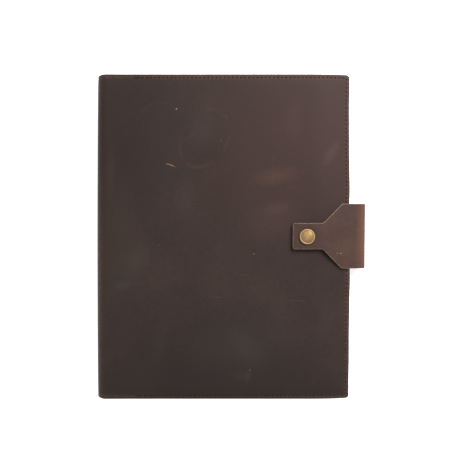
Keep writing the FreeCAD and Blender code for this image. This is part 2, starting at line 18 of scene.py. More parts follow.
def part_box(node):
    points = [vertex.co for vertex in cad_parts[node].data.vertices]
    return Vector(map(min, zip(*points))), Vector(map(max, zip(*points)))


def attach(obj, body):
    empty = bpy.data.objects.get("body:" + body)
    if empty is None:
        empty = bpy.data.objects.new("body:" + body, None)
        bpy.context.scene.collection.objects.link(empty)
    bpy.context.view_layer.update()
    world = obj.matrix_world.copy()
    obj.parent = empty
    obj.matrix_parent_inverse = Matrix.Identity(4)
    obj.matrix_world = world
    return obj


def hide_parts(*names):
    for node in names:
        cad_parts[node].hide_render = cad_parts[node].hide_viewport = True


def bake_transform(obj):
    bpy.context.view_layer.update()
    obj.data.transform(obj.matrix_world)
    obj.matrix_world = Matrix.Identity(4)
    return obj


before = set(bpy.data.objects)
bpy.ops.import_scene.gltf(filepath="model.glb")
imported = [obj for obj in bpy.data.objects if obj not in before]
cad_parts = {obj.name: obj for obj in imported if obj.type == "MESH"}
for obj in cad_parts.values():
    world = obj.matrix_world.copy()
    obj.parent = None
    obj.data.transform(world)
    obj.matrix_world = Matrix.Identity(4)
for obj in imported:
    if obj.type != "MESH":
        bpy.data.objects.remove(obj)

MM = 0.001
POCKET_SHEET = 1.2 * MM  # thickness of the pocket leather
CLEARANCE = 0.3 * MM  # between the front cover and the flap that lies on it
FAR = 1.0  # farther than any cut edge
LEVEL = 0.99  # a face is level when its normal is at least this upright
TINY = 1e-9
LOG = logging.getLogger("notebook_cover")
Colour = tuple[float, float, float]


class Face(Enum):
    """Which face of a leather piece a polygon belongs to; the value is its material slot."""

    GRAIN = 0
    FLESH = 1
    EDGE = 2


class Side(Enum):
    """The two covers; the value is the direction of the outside on Z."""

    FRONT = 1
    BACK = -1


def tone(code: str) -> Colour:
    """Linear colour of a six-digit sRGB code."""
    parts = [int(code[i:i + 2], 16) / 255 for i in (0, 2, 4)]
    return tuple(p / 12.92 if p <= 0.04045 else ((p + 0.055) / 1.055) ** 2.4 for p in parts)


def ease(low: float, high: float, value: np.ndarray) -> np.ndarray:
    """Smooth step from 0 at low to 1 at high."""
    part = np.clip((value - low) / (high - low), 0.0, 1.0)
    return part * part * (3 - 2 * part)


def ripple(x: float, y: float, size: float, seed: float) -> float:
    """Slow unevenness between about -1 and 1, with hollows about size apart."""
    return noise.noise(Vector((x / size, y / size, seed)))


# ---------------------------------------------------------------- the frame's sizes


@dataclass(frozen=True)
class Layout:
    """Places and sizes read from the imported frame."""

    spine: float
    fore: float
    half_height: float
    thickness: float
    hide: float
    droop: float
    droop_start: float
    pocket_start: float
    pocket_sheet: float
    slot_depth: float
    tab_half: float
    tongue_end: float
    root_start: float
    fold_out: float
    fold_low: float
    strap: float
    flap_under: float
    snap: tuple[float, float]

    @classmethod
    def from_frame(cls) -> "Layout":
        """Reads the boxes of the nodes that set the sizes."""
        spine_low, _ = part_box("spine_leather")
        front_low, front_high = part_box("front_cover_leather")
        pocket_low, pocket_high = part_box("back_pocket")
        _, fold_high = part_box("tab_fold")
        flap_low, flap_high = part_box("tab_flap")
        root_low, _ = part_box("tab_root")
        cap_low, cap_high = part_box("snap_cap")
        _, socket_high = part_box("snap_socket")
        stud_low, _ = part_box("snap_stud")
        hide = pocket_low.z
        thickness = stud_low.z
        return cls(
            spine=spine_low.x, fore=front_high.x, half_height=front_high.y,
            thickness=thickness, hide=hide, droop=thickness - hide - front_low.z,
            droop_start=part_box("notebook_front_board")[1].x,
            pocket_start=pocket_low.x, pocket_sheet=POCKET_SHEET,
            slot_depth=pocket_high.z - pocket_low.z - POCKET_SHEET,
            tab_half=flap_high.y, tongue_end=flap_low.x, root_start=root_low.x,
            fold_out=fold_high.x, fold_low=root_low.z,
            strap=flap_high.z - socket_high.z, flap_under=socket_high.z,
            snap=((cap_low.x + cap_high.x) / 2, (cap_low.y + cap_high.y) / 2))

    @property
    def bend(self) -> float:
        """Outer radius of the rounded spine."""
        return self.thickness / 2

    @property
    def tangent(self) -> float:
        """X where the flat covers meet the rounded spine."""
        return self.spine + self.bend


# ---------------------------------------------------------------- node graphs


class Graph:
    """A small wrapper that builds a material's nodes."""

    def __init__(self, name: str) -> None:
        """Makes the material with a Principled shader on its output."""
        self.material = bpy.data.materials.new(name)
        self.material.use_nodes = True
        self.tree = self.material.node_tree
        self.tree.nodes.clear()
        output = self.tree.nodes.new("ShaderNodeOutputMaterial")
        self.shader = self.tree.nodes.new("ShaderNodeBsdfPrincipled")
        self.link(self.shader.outputs["BSDF"], output.inputs["Surface"])

    def link(self, source: bpy.types.NodeSocket, target: bpy.types.NodeSocket) -> None:
        """Joins two sockets."""
        self.tree.links.new(source, target)

    def feed(self, target: bpy.types.NodeSocket, value: object) -> None:
        """Links a socket, or sets a plain value."""
        if isinstance(value, bpy.types.NodeSocket):
            self.link(value, target)
        elif isinstance(value, tuple) and len(value) == 3 and target.type == "RGBA":
            target.default_value = (*value, 1.0)
        else:
            target.default_value = value

    def attribute(self, name: str, output: str = "Fac") -> bpy.types.NodeSocket:
        """A value or vector stored on the mesh."""
        node = self.tree.nodes.new("ShaderNodeAttribute")
        node.attribute_name = name
        return node.outputs[output]

    def place(self) -> bpy.types.NodeSocket:
        """Object coordinates."""
        return self.tree.nodes.new("ShaderNodeTexCoord").outputs["Object"]

    def facing_up(self) -> bpy.types.NodeSocket:
        """How far the surface faces up or down on the piece, from -1 to 1."""
        split = self.tree.nodes.new("ShaderNodeSeparateXYZ")
        self.link(self.tree.nodes.new("ShaderNodeTexCoord").outputs["Normal"],
                  split.inputs[0])
        return split.outputs["Z"]

    def mapped(self, vector: object, scale: Sequence[float] = (1, 1, 1),
               turn: float = 0.0, move: Sequence[float] = (0, 0, 0)) -> bpy.types.NodeSocket:
        """Moves, turns about Z and scales a vector."""
        node = self.tree.nodes.new("ShaderNodeMapping")
        self.feed(node.inputs["Vector"], vector)
        node.inputs["Location"].default_value = move
        node.inputs["Rotation"].default_value = (0, 0, turn)
        node.inputs["Scale"].default_value = scale
        return node.outputs["Vector"]

    def noise(self, vector: object, scale: float, detail: float = 3.0,
              rough: float = 0.5, warp: float = 0.0) -> bpy.types.NodeSocket:
        """Fractal noise between 0 and 1."""
        node = self.tree.nodes.new("ShaderNodeTexNoise")
        self.feed(node.inputs["Vector"], vector)
        node.inputs["Scale"].default_value = scale
        node.inputs["Detail"].default_value = detail
        node.inputs["Roughness"].default_value = rough
        node.inputs["Distortion"].default_value = warp
        return node.outputs["Fac"]

    def cells(self, vector: object, scale: float, feature: str = "F1") -> bpy.types.NodeSocket:
        """Distance inside a pattern of cells."""
        node = self.tree.nodes.new("ShaderNodeTexVoronoi")
        node.feature = feature
        self.feed(node.inputs["Vector"], vector)
        node.inputs["Scale"].default_value = scale
        return node.outputs["Distance"]

    def waves(self, vector: object, scale: float, warp: float = 0.0) -> bpy.types.NodeSocket:
        """Straight bands across X."""
        node = self.tree.nodes.new("ShaderNodeTexWave")
        self.feed(node.inputs["Vector"], vector)
        node.inputs["Scale"].default_value = scale
        node.inputs["Distortion"].default_value = warp
        return node.outputs["Fac"]

    def patch(self, vector: object, centre: Sequence[float], turn: float,
              length: float, width: float) -> bpy.types.NodeSocket:
        """1 in the middle of an ellipse on the leather, falling to 0 at its rim."""
        node = self.tree.nodes.new("ShaderNodeMapping")
        node.vector_type = "TEXTURE"
        self.feed(node.inputs["Vector"], vector)
        node.inputs["Location"].default_value = (*centre, 0)
        node.inputs["Rotation"].default_value = (0, 0, turn)
        node.inputs["Scale"].default_value = (length / 2, width / 2, 1)
        round_fade = self.tree.nodes.new("ShaderNodeTexGradient")
        round_fade.gradient_type = "SPHERICAL"
        self.link(node.outputs["Vector"], round_fade.inputs["Vector"])
        return round_fade.outputs["Fac"]

    def span(self, value: object, low: float, high: float,
             start: float = 0.0, end: float = 1.0) -> bpy.types.NodeSocket:
        """Maps low..high to start..end, held at both ends."""
        node = self.tree.nodes.new("ShaderNodeMapRange")
        node.interpolation_type = "SMOOTHSTEP"
        self.feed(node.inputs["Value"], value)
        for socket, number in zip(("From Min", "From Max", "To Min", "To Max"),
                                  (low, high, start, end)):
            node.inputs[socket].default_value = number
        return node.outputs["Result"]

    def math(self, kind: str, first: object, second: object = 0.0) -> bpy.types.NodeSocket:
        """One arithmetic step."""
        node = self.tree.nodes.new("ShaderNodeMath")
        node.operation = kind
        self.feed(node.inputs[0], first)
        self.feed(node.inputs[1], second)
        return node.outputs[0]

    def mix(self, amount: object, first: object, second: object,
            kind: str = "MIX") -> bpy.types.NodeSocket:
        """Mixes two colours."""
        node = self.tree.nodes.new("ShaderNodeMix")
        node.data_type = "RGBA"
        node.blend_type = kind
        colours = [s for s in node.inputs if s.type == "RGBA"]
        self.feed(node.inputs[0], amount)
        self.feed(colours[0], first)
        self.feed(colours[1], second)
        return [s for s in node.outputs if s.type == "RGBA"][0]

    def ramp(self, value: object, stops: Sequence[tuple[float, Colour]]) -> bpy.types.NodeSocket:
        """A colour ramp."""
        node = self.tree.nodes.new("ShaderNodeValToRGB")
        self.feed(node.inputs["Fac"], value)
        band = node.color_ramp
        while len(band.elements) < len(stops):
            band.elements.new(0.5)
        for element, (place, colour) in zip(band.elements, stops):
            element.position = place
            element.color = (*colour, 1.0)
        return node.outputs["Color"]

    def bump(self, height: object, depth: float, strength: float = 1.0,
             under: object = None) -> bpy.types.NodeSocket:
        """A bump of the given depth in metres, on top of another one."""
        node = self.tree.nodes.new("ShaderNodeBump")
        node.inputs["Strength"].default_value = strength
        node.inputs["Distance"].default_value = depth
        self.feed(node.inputs["Height"], height)
        if under is not None:
            self.link(under, node.inputs["Normal"])
        return node.outputs["Normal"]

    def finish(self, colour: object, roughness: object, normal: object = None,
               **plain: object) -> bpy.types.Material:
        """Feeds the shader; plain values go straight on its sockets, _ standing for a space."""
        self.feed(self.shader.inputs["Base Color"], colour)
        self.feed(self.shader.inputs["Roughness"], roughness)
        if normal is not None:
            self.link(normal, self.shader.inputs["Normal"])
        for name, number in plain.items():
            self.shader.inputs[name.replace("_", " ")].default_value = number
        return self.material


# ---------------------------------------------------------------- finishes


STREAK_CREST = 0.07  # where a streak is strongest, from 0 at the ellipse's rim
STREAK_END = 0.2  # where it has faded out


@dataclass(frozen=True)
class Mark:
    """A tint, a scuff, a bent streak or a patch of painted shade or light on the hide: an ellipse
    on the unrolled leather.

    Attributes:
        x: Centre across the cover, in millimetres.
        y: Centre up the cover, in millimetres.
        turn: Turn of the length from X, in degrees.
        length: Length of the ellipse, in millimetres.
        width: Width of the ellipse, in millimetres.
        strength: How strongly the colour covers the leather, 0 to 1.
        colour: Colour of the mark.
        broken: How much the grain breaks it up, 0 to 1.
        streak: Whether only the ellipse's rim shows, as a bent pull-up streak does.
    """

    x: float
    y: float
    turn: float
    length: float
    width: float
    strength: float
    colour: str = "8a7264"
    broken: float = 0.0
    streak: bool = False

    def amount(self, g: Graph, place: bpy.types.NodeSocket,
               grain: bpy.types.NodeSocket) -> bpy.types.NodeSocket:
        """How much of the mark shows at each place."""
        spot = g.patch(place, (self.x * MM, self.y * MM), math.radians(self.turn),
                       self.length * MM, self.width * MM)
        if self.streak:
            inside = g.span(spot, 0.0, STREAK_CREST)
            beyond = g.span(spot, STREAK_CREST, STREAK_END, 1.0, 0.0)
            shown = g.math("MULTIPLY", inside, beyond)
            shown = g.math("MULTIPLY", shown, g.span(g.noise(place, 40, 2), 0.45, 0.6))
        else:
            shown = g.span(spot, 0.0, 0.9)
        shown = g.math("MULTIPLY", shown, self.strength)
        return g.math("MULTIPLY", shown, g.span(grain, 0.3, 0.6, 1 - self.broken, 1.0))


FRONT_MARKS_AND_SHADING = (
    # painted shade and light: the front darker towards the bottom and the left, lighter towards
    # the upper right where the key light falls
    Mark(-20, -160, 0, 380, 260, 0.75, "1e1a19"),
    Mark(-110, 90, 0, 190, 300, 0.75, "231b18"),
    Mark(18, 90, 0, 165, 150, 0.55, "261d1a"),
    Mark(75, 95, 0, 260, 260, 0.5, "3a2726"),
    Mark(20, 45, 10, 220, 90, 0.3, "33241f"),
    # soft blotches
    Mark(43, 59, 8, 62, 24, 0.45, "48312a"),
    Mark(42, 14, 20, 84, 56, 0.35, "3e2d2a"),
    Mark(98, 82, 60, 40, 14, 0.35, "4a3836"),
    Mark(-100, -32, 70, 90, 48, 0.4, "302b26"),
    Mark(-96, -58, 20, 34, 18, 0.3, "2d2825"),
    Mark(6, -106, 0, 140, 76, 0.45, "2e2927"),
    Mark(10, -136, 0, 26, 16, 0.3, "302b27"),
    Mark(-108, 12, 84, 110, 44, 0.3, "302923"),
    Mark(-118, 60, 88, 70, 12, 0.3, "3a2a22"),
    # pale haze
    Mark(-92, -22, 60, 40, 28, 0.28, "38332c", broken=0.3),
    Mark(-107, -48, 10, 34, 14, 0.26, "3a352f", broken=0.3),
    Mark(-46, 36, 80, 64, 34, 0.2, "383130", broken=0.3),
    Mark(-28, 104, 60, 44, 36, 0.18, "3a322f", broken=0.3),
    Mark(61, 114, 88, 64, 22, 0.16, "463835", broken=0.3),
    Mark(42, 27, 15, 46, 20, 0.3, "45322d"),
    Mark(14, -108, -50, 66, 34, 0.22, "38322f", broken=0.3),
    Mark(92, -80, 80, 60, 26, 0.2, "352c29"),
    Mark(-70, -104, 75, 60, 20, 0.2, "332d29", broken=0.3),
    Mark(16, -137, 80, 22, 8, 0.2, "403830", broken=0.3),
    # bent pull-up streaks
    Mark(-26, 96, 60, 66, 48, 0.1, "57483f", streak=True),
    Mark(-62, 112, -15, 60, 40, 0.08, "4c4038", streak=True),
    Mark(56, 72, 75, 60, 34, 0.06, "574740", streak=True),
    # scuffs
    Mark(-53.8, 124.8, 0, 2.2, 1.8, 0.8, "9c8a7c"),
    Mark(-58.9, 69.8, -22, 13, 1.3, 0.75, "8f7660", broken=0.3),
    Mark(-62.5, 70.6, -10, 6, 0.9, 0.5, "8f7660", broken=0.3),
    Mark(-10.5, 93.5, -50, 4, 1.0, 0.5, "7a4c3a"),
    Mark(22.0, -16.9, 0, 1.8, 1.6, 0.7, "8c7a6c"),
    Mark(18.1, -130.6, 20, 2.0, 1.5, 0.5, "7c6a5e"),
    Mark(-70.5, -8.0, 40, 2.0, 1.2, 0.5, "74533f"),
)
STRAP_MARKS = (
    Mark(546, -9, 0, 34, 30, 0.3, "4c352c"),
    Mark(544, 19, 0, 34, 22, 0.3, "33292a"),
    Mark(562, 0, 90, 150, 13, 0.7, "5e4336"),
    Mark(557, 0, 90, 120, 7, 0.3, "63402f"),
    Mark(535.4, -16.5, 0, 2.6, 2.0, 0.4, "8a7f70", broken=0.3),
    Mark(539.2, -16.9, 0, 1.8, 1.6, 0.8, "a58f6c"),
)


@dataclass(frozen=True)
class WaxedHide:
    """Dark waxed leather: cloudy pull-up colour, fine grain, light rubbed edges."""

    name: str = "waxed_hide"
    dark: str = "271e1b"
    middle: str = "2c221f"
    light: str = "322623"
    rust: str = "43291f"
    rubbed: str = "76594a"
    # colour of the painted shade in the stitch groove
    seam: str = "1a1110"
    rust_amount: float = 0.11
    seam_shade_amount: float = 0.12
    scratch_amount: float = 0.35
    cloud_scale: float = 6.0
    drift_scale: float = 26
    mottle_scale: float = 210
    speckle_scale: float = 760
    grain_scale: float = 1050
    swell_depth: float = 0.06 * MM
    pebble_depth: float = 0.16 * MM
    pore_depth: float = 0.05 * MM
    marks: tuple[Mark, ...] = ()

    def build(self) -> bpy.types.Material:
        """Makes the grain side's material."""
        g = Graph(self.name)
        place = g.attribute("hide", "Vector")
        cloud = g.noise(place, self.cloud_scale, 3, 0.5, 0.6)
        turned = g.mapped(place, (1, 1, 1), 0.6, (0.31, 0.17, 0))
        drift = g.noise(turned, self.drift_scale, 5, 0.6, 0.5)
        mottle = g.noise(place, self.mottle_scale, 4, 0.62, 0.2)
        speckle = g.noise(place, self.speckle_scale, 3, 0.7)
        blend = g.math("ADD", g.math("MULTIPLY", cloud, 0.55), g.math("MULTIPLY", drift, 0.45))
        colour = g.ramp(blend, ((0.36, tone(self.dark)), (0.5, tone(self.middle)),
                                (0.66, tone(self.light))))
        moved = g.mapped(place, move=(0.7, 0.2, 0))
        rust = g.span(g.noise(moved, 24, 3, 0.55, 0.9), 0.54, 0.74)
        colour = g.mix(g.math("MULTIPLY", rust, self.rust_amount), colour, tone(self.rust))
        shade = g.span(mottle, 0.3, 0.7, 0.93, 1.07)
        colour = g.mix(1.0, colour, self.grey(g, shade), "MULTIPLY")
        pore = g.span(speckle, 0.3, 0.7, 0.9, 1.1)
        colour = g.mix(1.0, colour, self.grey(g, pore), "MULTIPLY")
        # painted shade: the grain darkens along the stitch groove
        sewn = g.math("MULTIPLY", g.attribute("seam"), self.seam_shade_amount)
        colour = g.mix(sewn, colour, tone(self.seam))
        worn = g.math("MULTIPLY", g.attribute("wear"), g.span(mottle, 0.25, 0.75, 0.35, 1.0))
        colour = g.mix(worn, colour, tone(self.rubbed))
        lines = self.scratches(g, place)
        colour = g.mix(g.math("MULTIPLY", lines, self.scratch_amount), colour, tone(self.rubbed))
        # the marks are real tints, scuffs and streaks; on the front they also paint shade and
        # light
        for mark in self.marks:
            colour = g.mix(mark.amount(g, place, mottle), colour, tone(mark.colour))
        grain = g.cells(place, self.grain_scale, "SMOOTH_F1")
        swell = g.bump(mottle, self.swell_depth, 0.7)
        pebble = g.bump(grain, self.pebble_depth, 0.55, swell)
        fine = g.bump(speckle, self.pore_depth, 0.7, pebble)
        rough = g.span(g.math("ADD", g.math("MULTIPLY", drift, 0.5),
                              g.math("MULTIPLY", mottle, 0.5)), 0.35, 0.65, 0.54, 0.62)
        return g.finish(colour, rough, fine, Specular_IOR_Level=0.2,
                        Specular_Tint=(1.0, 0.87, 0.83, 1.0))

    @staticmethod
    def grey(g: Graph, value: bpy.types.NodeSocket) -> bpy.types.NodeSocket:
        """A value as a grey colour."""
        node = g.tree.nodes.new("ShaderNodeCombineColor")
        for channel in node.inputs:
            g.link(value, channel)
        return node.outputs[0]

    @staticmethod
    def scratches(g: Graph, place: bpy.types.NodeSocket) -> bpy.types.NodeSocket:
        """Sparse hairline scratches in three directions."""
        total: object = 0.0
        for turn, spread in ((0.5, 310), (2.3, 260), (1.35, 350)):
            lines = g.noise(g.mapped(place, (9, spread, 1), turn), 1.0, 2, 0.5, 0.25)
            gate = g.span(g.noise(g.mapped(place, move=(turn, 0, 0)), 30, 2), 0.52, 0.66)
            hair = g.math("MULTIPLY", g.span(lines, 0.72, 0.78), gate)
            total = g.math("MAXIMUM", hair, total)
        return total


@dataclass(frozen=True)
class FleshSide:
    """The suede side of the leather."""

    name: str = "flesh_side"
    nap: str = "4a3a33"
    shadow: str = "33271f"

    def build(self) -> bpy.types.Material:
        """Makes the flesh side's material."""
        g = Graph(self.name)
        place = g.attribute("hide", "Vector")
        nap = g.noise(place, 900, 4, 0.75)
        cloud = g.noise(place, 30, 4, 0.6, 0.4)
        blend = g.math("ADD", g.math("MULTIPLY", nap, 0.5), g.math("MULTIPLY", cloud, 0.5))
        colour = g.ramp(blend, ((0.36, tone(self.shadow)), (0.62, tone(self.nap))))
        return g.finish(colour, 0.92, g.bump(nap, 0.12 * MM, 0.8),
                        Sheen_Weight=0.08, Specular_IOR_Level=0.15)


@dataclass(frozen=True)
class CutEdge:
    """A cut leather edge, dyed dark or left light."""

    name: str
    light: str
    dark: str

    def build(self) -> bpy.types.Material:
        """Makes the edge's material, with the fibre layers running along it."""
        g = Graph(self.name)
        place = g.attribute("hide", "Vector")
        fibre = g.noise(g.mapped(place, (300, 300, 5200)), 1.0, 3, 0.6)
        patchy = g.noise(place, 160, 3, 0.6)
        blend = g.math("ADD", g.math("MULTIPLY", fibre, 0.6), g.math("MULTIPLY", patchy, 0.4))
        colour = g.ramp(blend, ((0.35, tone(self.dark)), (0.62, tone(self.light))))
        return g.finish(colour, 0.75, g.bump(fibre, 0.08 * MM, 0.7), Specular_IOR_Level=0.12)


@dataclass(frozen=True)
class AntiqueBrass:
    """Brass with a dark patina, rubbed bright where the mesh says polish."""

    name: str = "antique_brass"
    patina: str = "6b5434"
    metal: str = "93774a"
    bright: str = "b89a74"

    def build(self) -> bpy.types.Material:
        """Makes the metal."""
        g = Graph(self.name)
        place = g.place()
        cloud = g.noise(place, 260, 4, 0.6, 0.3)
        spots = g.noise(place, 1400, 3, 0.7)
        blend = g.math("ADD", g.math("MULTIPLY", cloud, 0.6), g.math("MULTIPLY", spots, 0.4))
        colour = g.ramp(blend, ((0.36, tone(self.patina)), (0.6, tone(self.metal))))
        colour = g.mix(g.math("MULTIPLY", g.attribute("polish"), 0.8), colour, tone(self.bright))
        rough = g.span(blend, 0.35, 0.65, 0.66, 0.54)
        return g.finish(colour, rough, g.bump(spots, 0.02 * MM, 0.6), Metallic=0.85)


@dataclass(frozen=True)
class WaxedThread:
    """Waxed thread with a visible twist."""

    name: str = "waxed_thread"
    dark: str = "170a08"
    light: str = "3d1d17"

    def build(self) -> bpy.types.Material:
        """Makes the thread from the twist stored in its own map."""
        g = Graph(self.name)
        twist = g.waves(g.attribute("twist", "Vector"), 0.9)
        fuzz = g.noise(g.place(), 2600, 2, 0.6)
        blend = g.math("ADD", g.math("MULTIPLY", twist, 0.55), g.math("MULTIPLY", fuzz, 0.45))
        colour = g.ramp(blend, ((0.2, tone(self.dark)), (0.75, tone(self.light))))
        return g.finish(colour, 0.7, g.bump(twist, 0.12 * MM, 0.8), Specular_IOR_Level=0.15)


@dataclass(frozen=True)
class Paper:
    """Cream paper whose cut edges show the leaves."""

    name: str = "page_paper"
    light: str = "d9cfb6"
    shadow: str = "a3967a"
    page: str = "cfc6b0"
    page_shade: str = "c6bca4"

    def build(self) -> bpy.types.Material:
        """Makes the paper."""
        g = Graph(self.name)
        place = g.place()
        leaves = g.noise(g.mapped(place, (14, 14, 8200)), 1.0, 3, 0.65)
        fibre = g.noise(place, 900, 4, 0.6)
        flat = g.span(g.math("ABSOLUTE", g.facing_up()), 0.6, 0.9)
        stack = g.ramp(leaves, ((0.38, tone(self.shadow)), (0.58, tone(self.light))))
        page = g.ramp(fibre, ((0.3, tone(self.page_shade)), (0.6, tone(self.page))))
        depth = g.span(flat, 0.0, 1.0, 0.06, 0.01)
        height = g.math("MULTIPLY", leaves, g.math("SUBTRACT", 1.0, flat))
        height = g.math("ADD", height, g.math("MULTIPLY", fibre, depth))
        return g.finish(g.mix(flat, stack, page), 0.88, g.bump(height, 0.06 * MM, 0.7),
                        Specular_IOR_Level=0.2)


@dataclass(frozen=True)
class BookCloth:
    """Plain woven cloth over the notebook's boards."""

    name: str = "book_cloth"
    dark: str = "121214"
    light: str = "2a2b2f"
    wave_scale: float = 1500.0 / 6.3

    def build(self) -> bpy.types.Material:
        """Makes a plain weave from two crossed wave patterns."""
        g = Graph(self.name)
        place = g.place()
        across = g.waves(place, self.wave_scale, 0.3)
        along = g.waves(g.mapped(place, turn=math.pi / 2), self.wave_scale, 0.3)
        weave = g.math("MULTIPLY", across, along)
        slub = g.noise(g.mapped(place, (40, 900, 900)), 1.0, 2, 0.6)
        blend = g.math("ADD", g.math("MULTIPLY", weave, 0.5), g.math("MULTIPLY", slub, 0.5))
        colour = g.ramp(blend, ((0.2, tone(self.dark)), (0.7, tone(self.light))))
        return g.finish(colour, 0.8, g.bump(weave, 0.08 * MM, 0.8), Sheen_Weight=0.15)


# ---------------------------------------------------------------- mesh building


@dataclass
class SheetGrid:
    """A sheet with thickness, as matching grids of points on its two faces.

    Attributes:
        outer: Points of the grain side, rows by columns by 3.
        inner: Points of the flesh side.
        hide: Unrolled place on the leather, rows by columns by 2.
        edge: Distance to the nearest cut edge.
        wear: How rubbed the leather is, 0 to 1.
        seam: How deep the stitch groove is, 0 to 1, and how much painted shade darkens the grain
            there.
    """

    outer: np.ndarray
    inner: np.ndarray
    hide: np.ndarray
    edge: np.ndarray
    wear: np.ndarray
    seam: np.ndarray
    edge_width: float = 0.3 * MM

    def build(self, name: str, materials: Sequence[bpy.types.Material]) -> bpy.types.Object:
        """Makes the closed mesh.

        Args:
            name: The piece's name.
            materials: Grain, flesh and edge materials.

        Returns:
            The new object, at the origin.
        """
        rows, columns = self.edge.shape
        count = rows * columns
        points = np.concatenate((self.outer.reshape(-1, 3), self.inner.reshape(-1, 3)))
        faces, slots = [], []
        for i in range(rows - 1):
            for j in range(columns - 1):
                a, b = i * columns + j, (i + 1) * columns + j
                near = self.edge[i:i + 2, j:j + 2].mean()
                cut = near < self.edge_width
                faces.append((a, b, b + 1, a + 1))
                slots.append(Face.EDGE.value if cut else Face.GRAIN.value)
                faces.append((count + a, count + a + 1, count + b + 1, count + b))
                slots.append(Face.EDGE.value if cut else Face.FLESH.value)
        ring = [(i, 0) for i in range(rows - 1)]
        ring += [(rows - 1, j) for j in range(columns - 1)]
        ring += [(i, columns - 1) for i in range(rows - 1, 0, -1)]
        ring += [(0, j) for j in range(columns - 1, 0, -1)]
        numbers = [i * columns + j for i, j in ring]
        for first, second in zip(numbers, numbers[1:] + numbers[:1]):
            faces.append((second, first, count + first, count + second))
            slots.append(Face.EDGE.value)
        mesh = bpy.data.meshes.new(name)
        mesh.from_pydata(points.tolist(), [], faces)
        for material in materials:
            mesh.materials.append(material)
        mesh.polygons.foreach_set("material_index", slots)
        mesh.polygons.foreach_set("use_smooth", [True] * len(faces))
        depth = np.linalg.norm(self.outer - self.inner, axis=2).reshape(-1)
        flat = self.hide.reshape(-1, 2)
        both = np.zeros((2 * count, 3), dtype=np.float32)
        both[:count, :2], both[count:, :2] = flat, flat
        both[count:, 2] = depth
        mesh.attributes.new("hide", "FLOAT_VECTOR", "POINT").data.foreach_set(
            "vector", both.reshape(-1))
        for label, values in (("wear", self.wear), ("seam", self.seam)):
            doubled = np.tile(values.reshape(-1), 2).astype(np.float32)
            mesh.attributes.new(label, "FLOAT", "POINT").data.foreach_set("value", doubled)
        return outward(new_object(name, mesh))


def new_object(name: str, mesh: bpy.types.Mesh) -> bpy.types.Object:
    """Links a mesh into the scene."""
    piece = bpy.data.objects.new(name, mesh)
    bpy.context.scene.collection.objects.link(piece)
    return piece


def outward(piece: bpy.types.Object) -> bpy.types.Object:
    """Turns every face of a closed mesh outwards."""
    work = bmesh.new()
    work.from_mesh(piece.data)
    bmesh.ops.recalc_face_normals(work, faces=work.faces)
    work.to_mesh(piece.data)
    work.free()
    return piece


def lines_between(low: float, high: float, near: Sequence[float], step: float,
                  both: bool = True) -> np.ndarray:
    """Grid lines that crowd at the cut edges and are even between them.

    Args:
        low: First line.
        high: Last line.
        near: Distances from an edge at which lines stand.
        step: Largest gap between the other lines.
        both: Whether the far end is a cut edge too.

    Returns:
        The lines, in order.
    """
    first = [low + d for d in near]
    last = [high - d for d in reversed(near)] if both else [high]
    middle = np.linspace(first[-1], last[0], max(2, int((last[0] - first[-1]) / step) + 1))
    return np.array(first[:-1] + middle.tolist() + last[1:])


NEAR_EDGE = tuple(d * MM for d in (0, 0.06, 0.2, 0.5, 1.0, 1.6, 2.0, 2.4, 2.8, 3.2, 3.6,
                                   4.1, 5.0, 6.2, 7.6, 9.2, 11.0, 13.0))
NEAR_STRAP = tuple(d * MM for d in (0, 0.08, 0.25, 0.55, 1.0, 1.8, 3.0))


def rounding(edge: np.ndarray, radius: float) -> np.ndarray:
    """How far a face drops close to a cut edge, so that the edge is rounded."""
    part = np.clip(radius - edge, 0, radius)
    return radius - np.sqrt(np.maximum(radius * radius - part * part, 0))


def channel(edge: np.ndarray, inset: float, width: float) -> np.ndarray:
    """1 on the stitch line, falling off on both sides."""
    return np.exp(-((edge - inset) / width) ** 2)


def lathe(name: str, profile: Sequence[tuple[float, float, float]],
          centre: tuple[float, float], material: bpy.types.Material,
          steps: int = 96) -> bpy.types.Object:
    """Turns a profile round an upright axis.

    Args:
        name: The piece's name.
        profile: Radius, height and polish of each point, from axis to axis.
        centre: X and Y of the axis.
        material: The finish.
        steps: Points round the axis.

    Returns:
        The new object, a closed mesh with a polish attribute.
    """
    work = bmesh.new()
    polish = work.verts.layers.float.new("polish")
    rings = []
    for radius, height, shine in profile:
        ring = []
        for k in range(1 if radius < TINY else steps):
            turn = 2 * math.pi * k / steps
            vert = work.verts.new((centre[0] + radius * math.cos(turn),
                                   centre[1] + radius * math.sin(turn), height))
            vert[polish] = shine
            ring.append(vert)
        rings.append(ring)
    for low, high in zip(rings, rings[1:]):
        for k in range(steps):
            corners = [low[k % len(low)], low[(k + 1) % steps % len(low)],
                       high[(k + 1) % steps % len(high)], high[k % len(high)]]
            work.faces.new(list(dict.fromkeys(corners))).smooth = True
    bmesh.ops.recalc_face_normals(work, faces=work.faces)
    mesh = bpy.data.meshes.new(name)
    work.to_mesh(mesh)
    work.free()
    mesh.materials.append(material)
    return new_object(name, mesh)


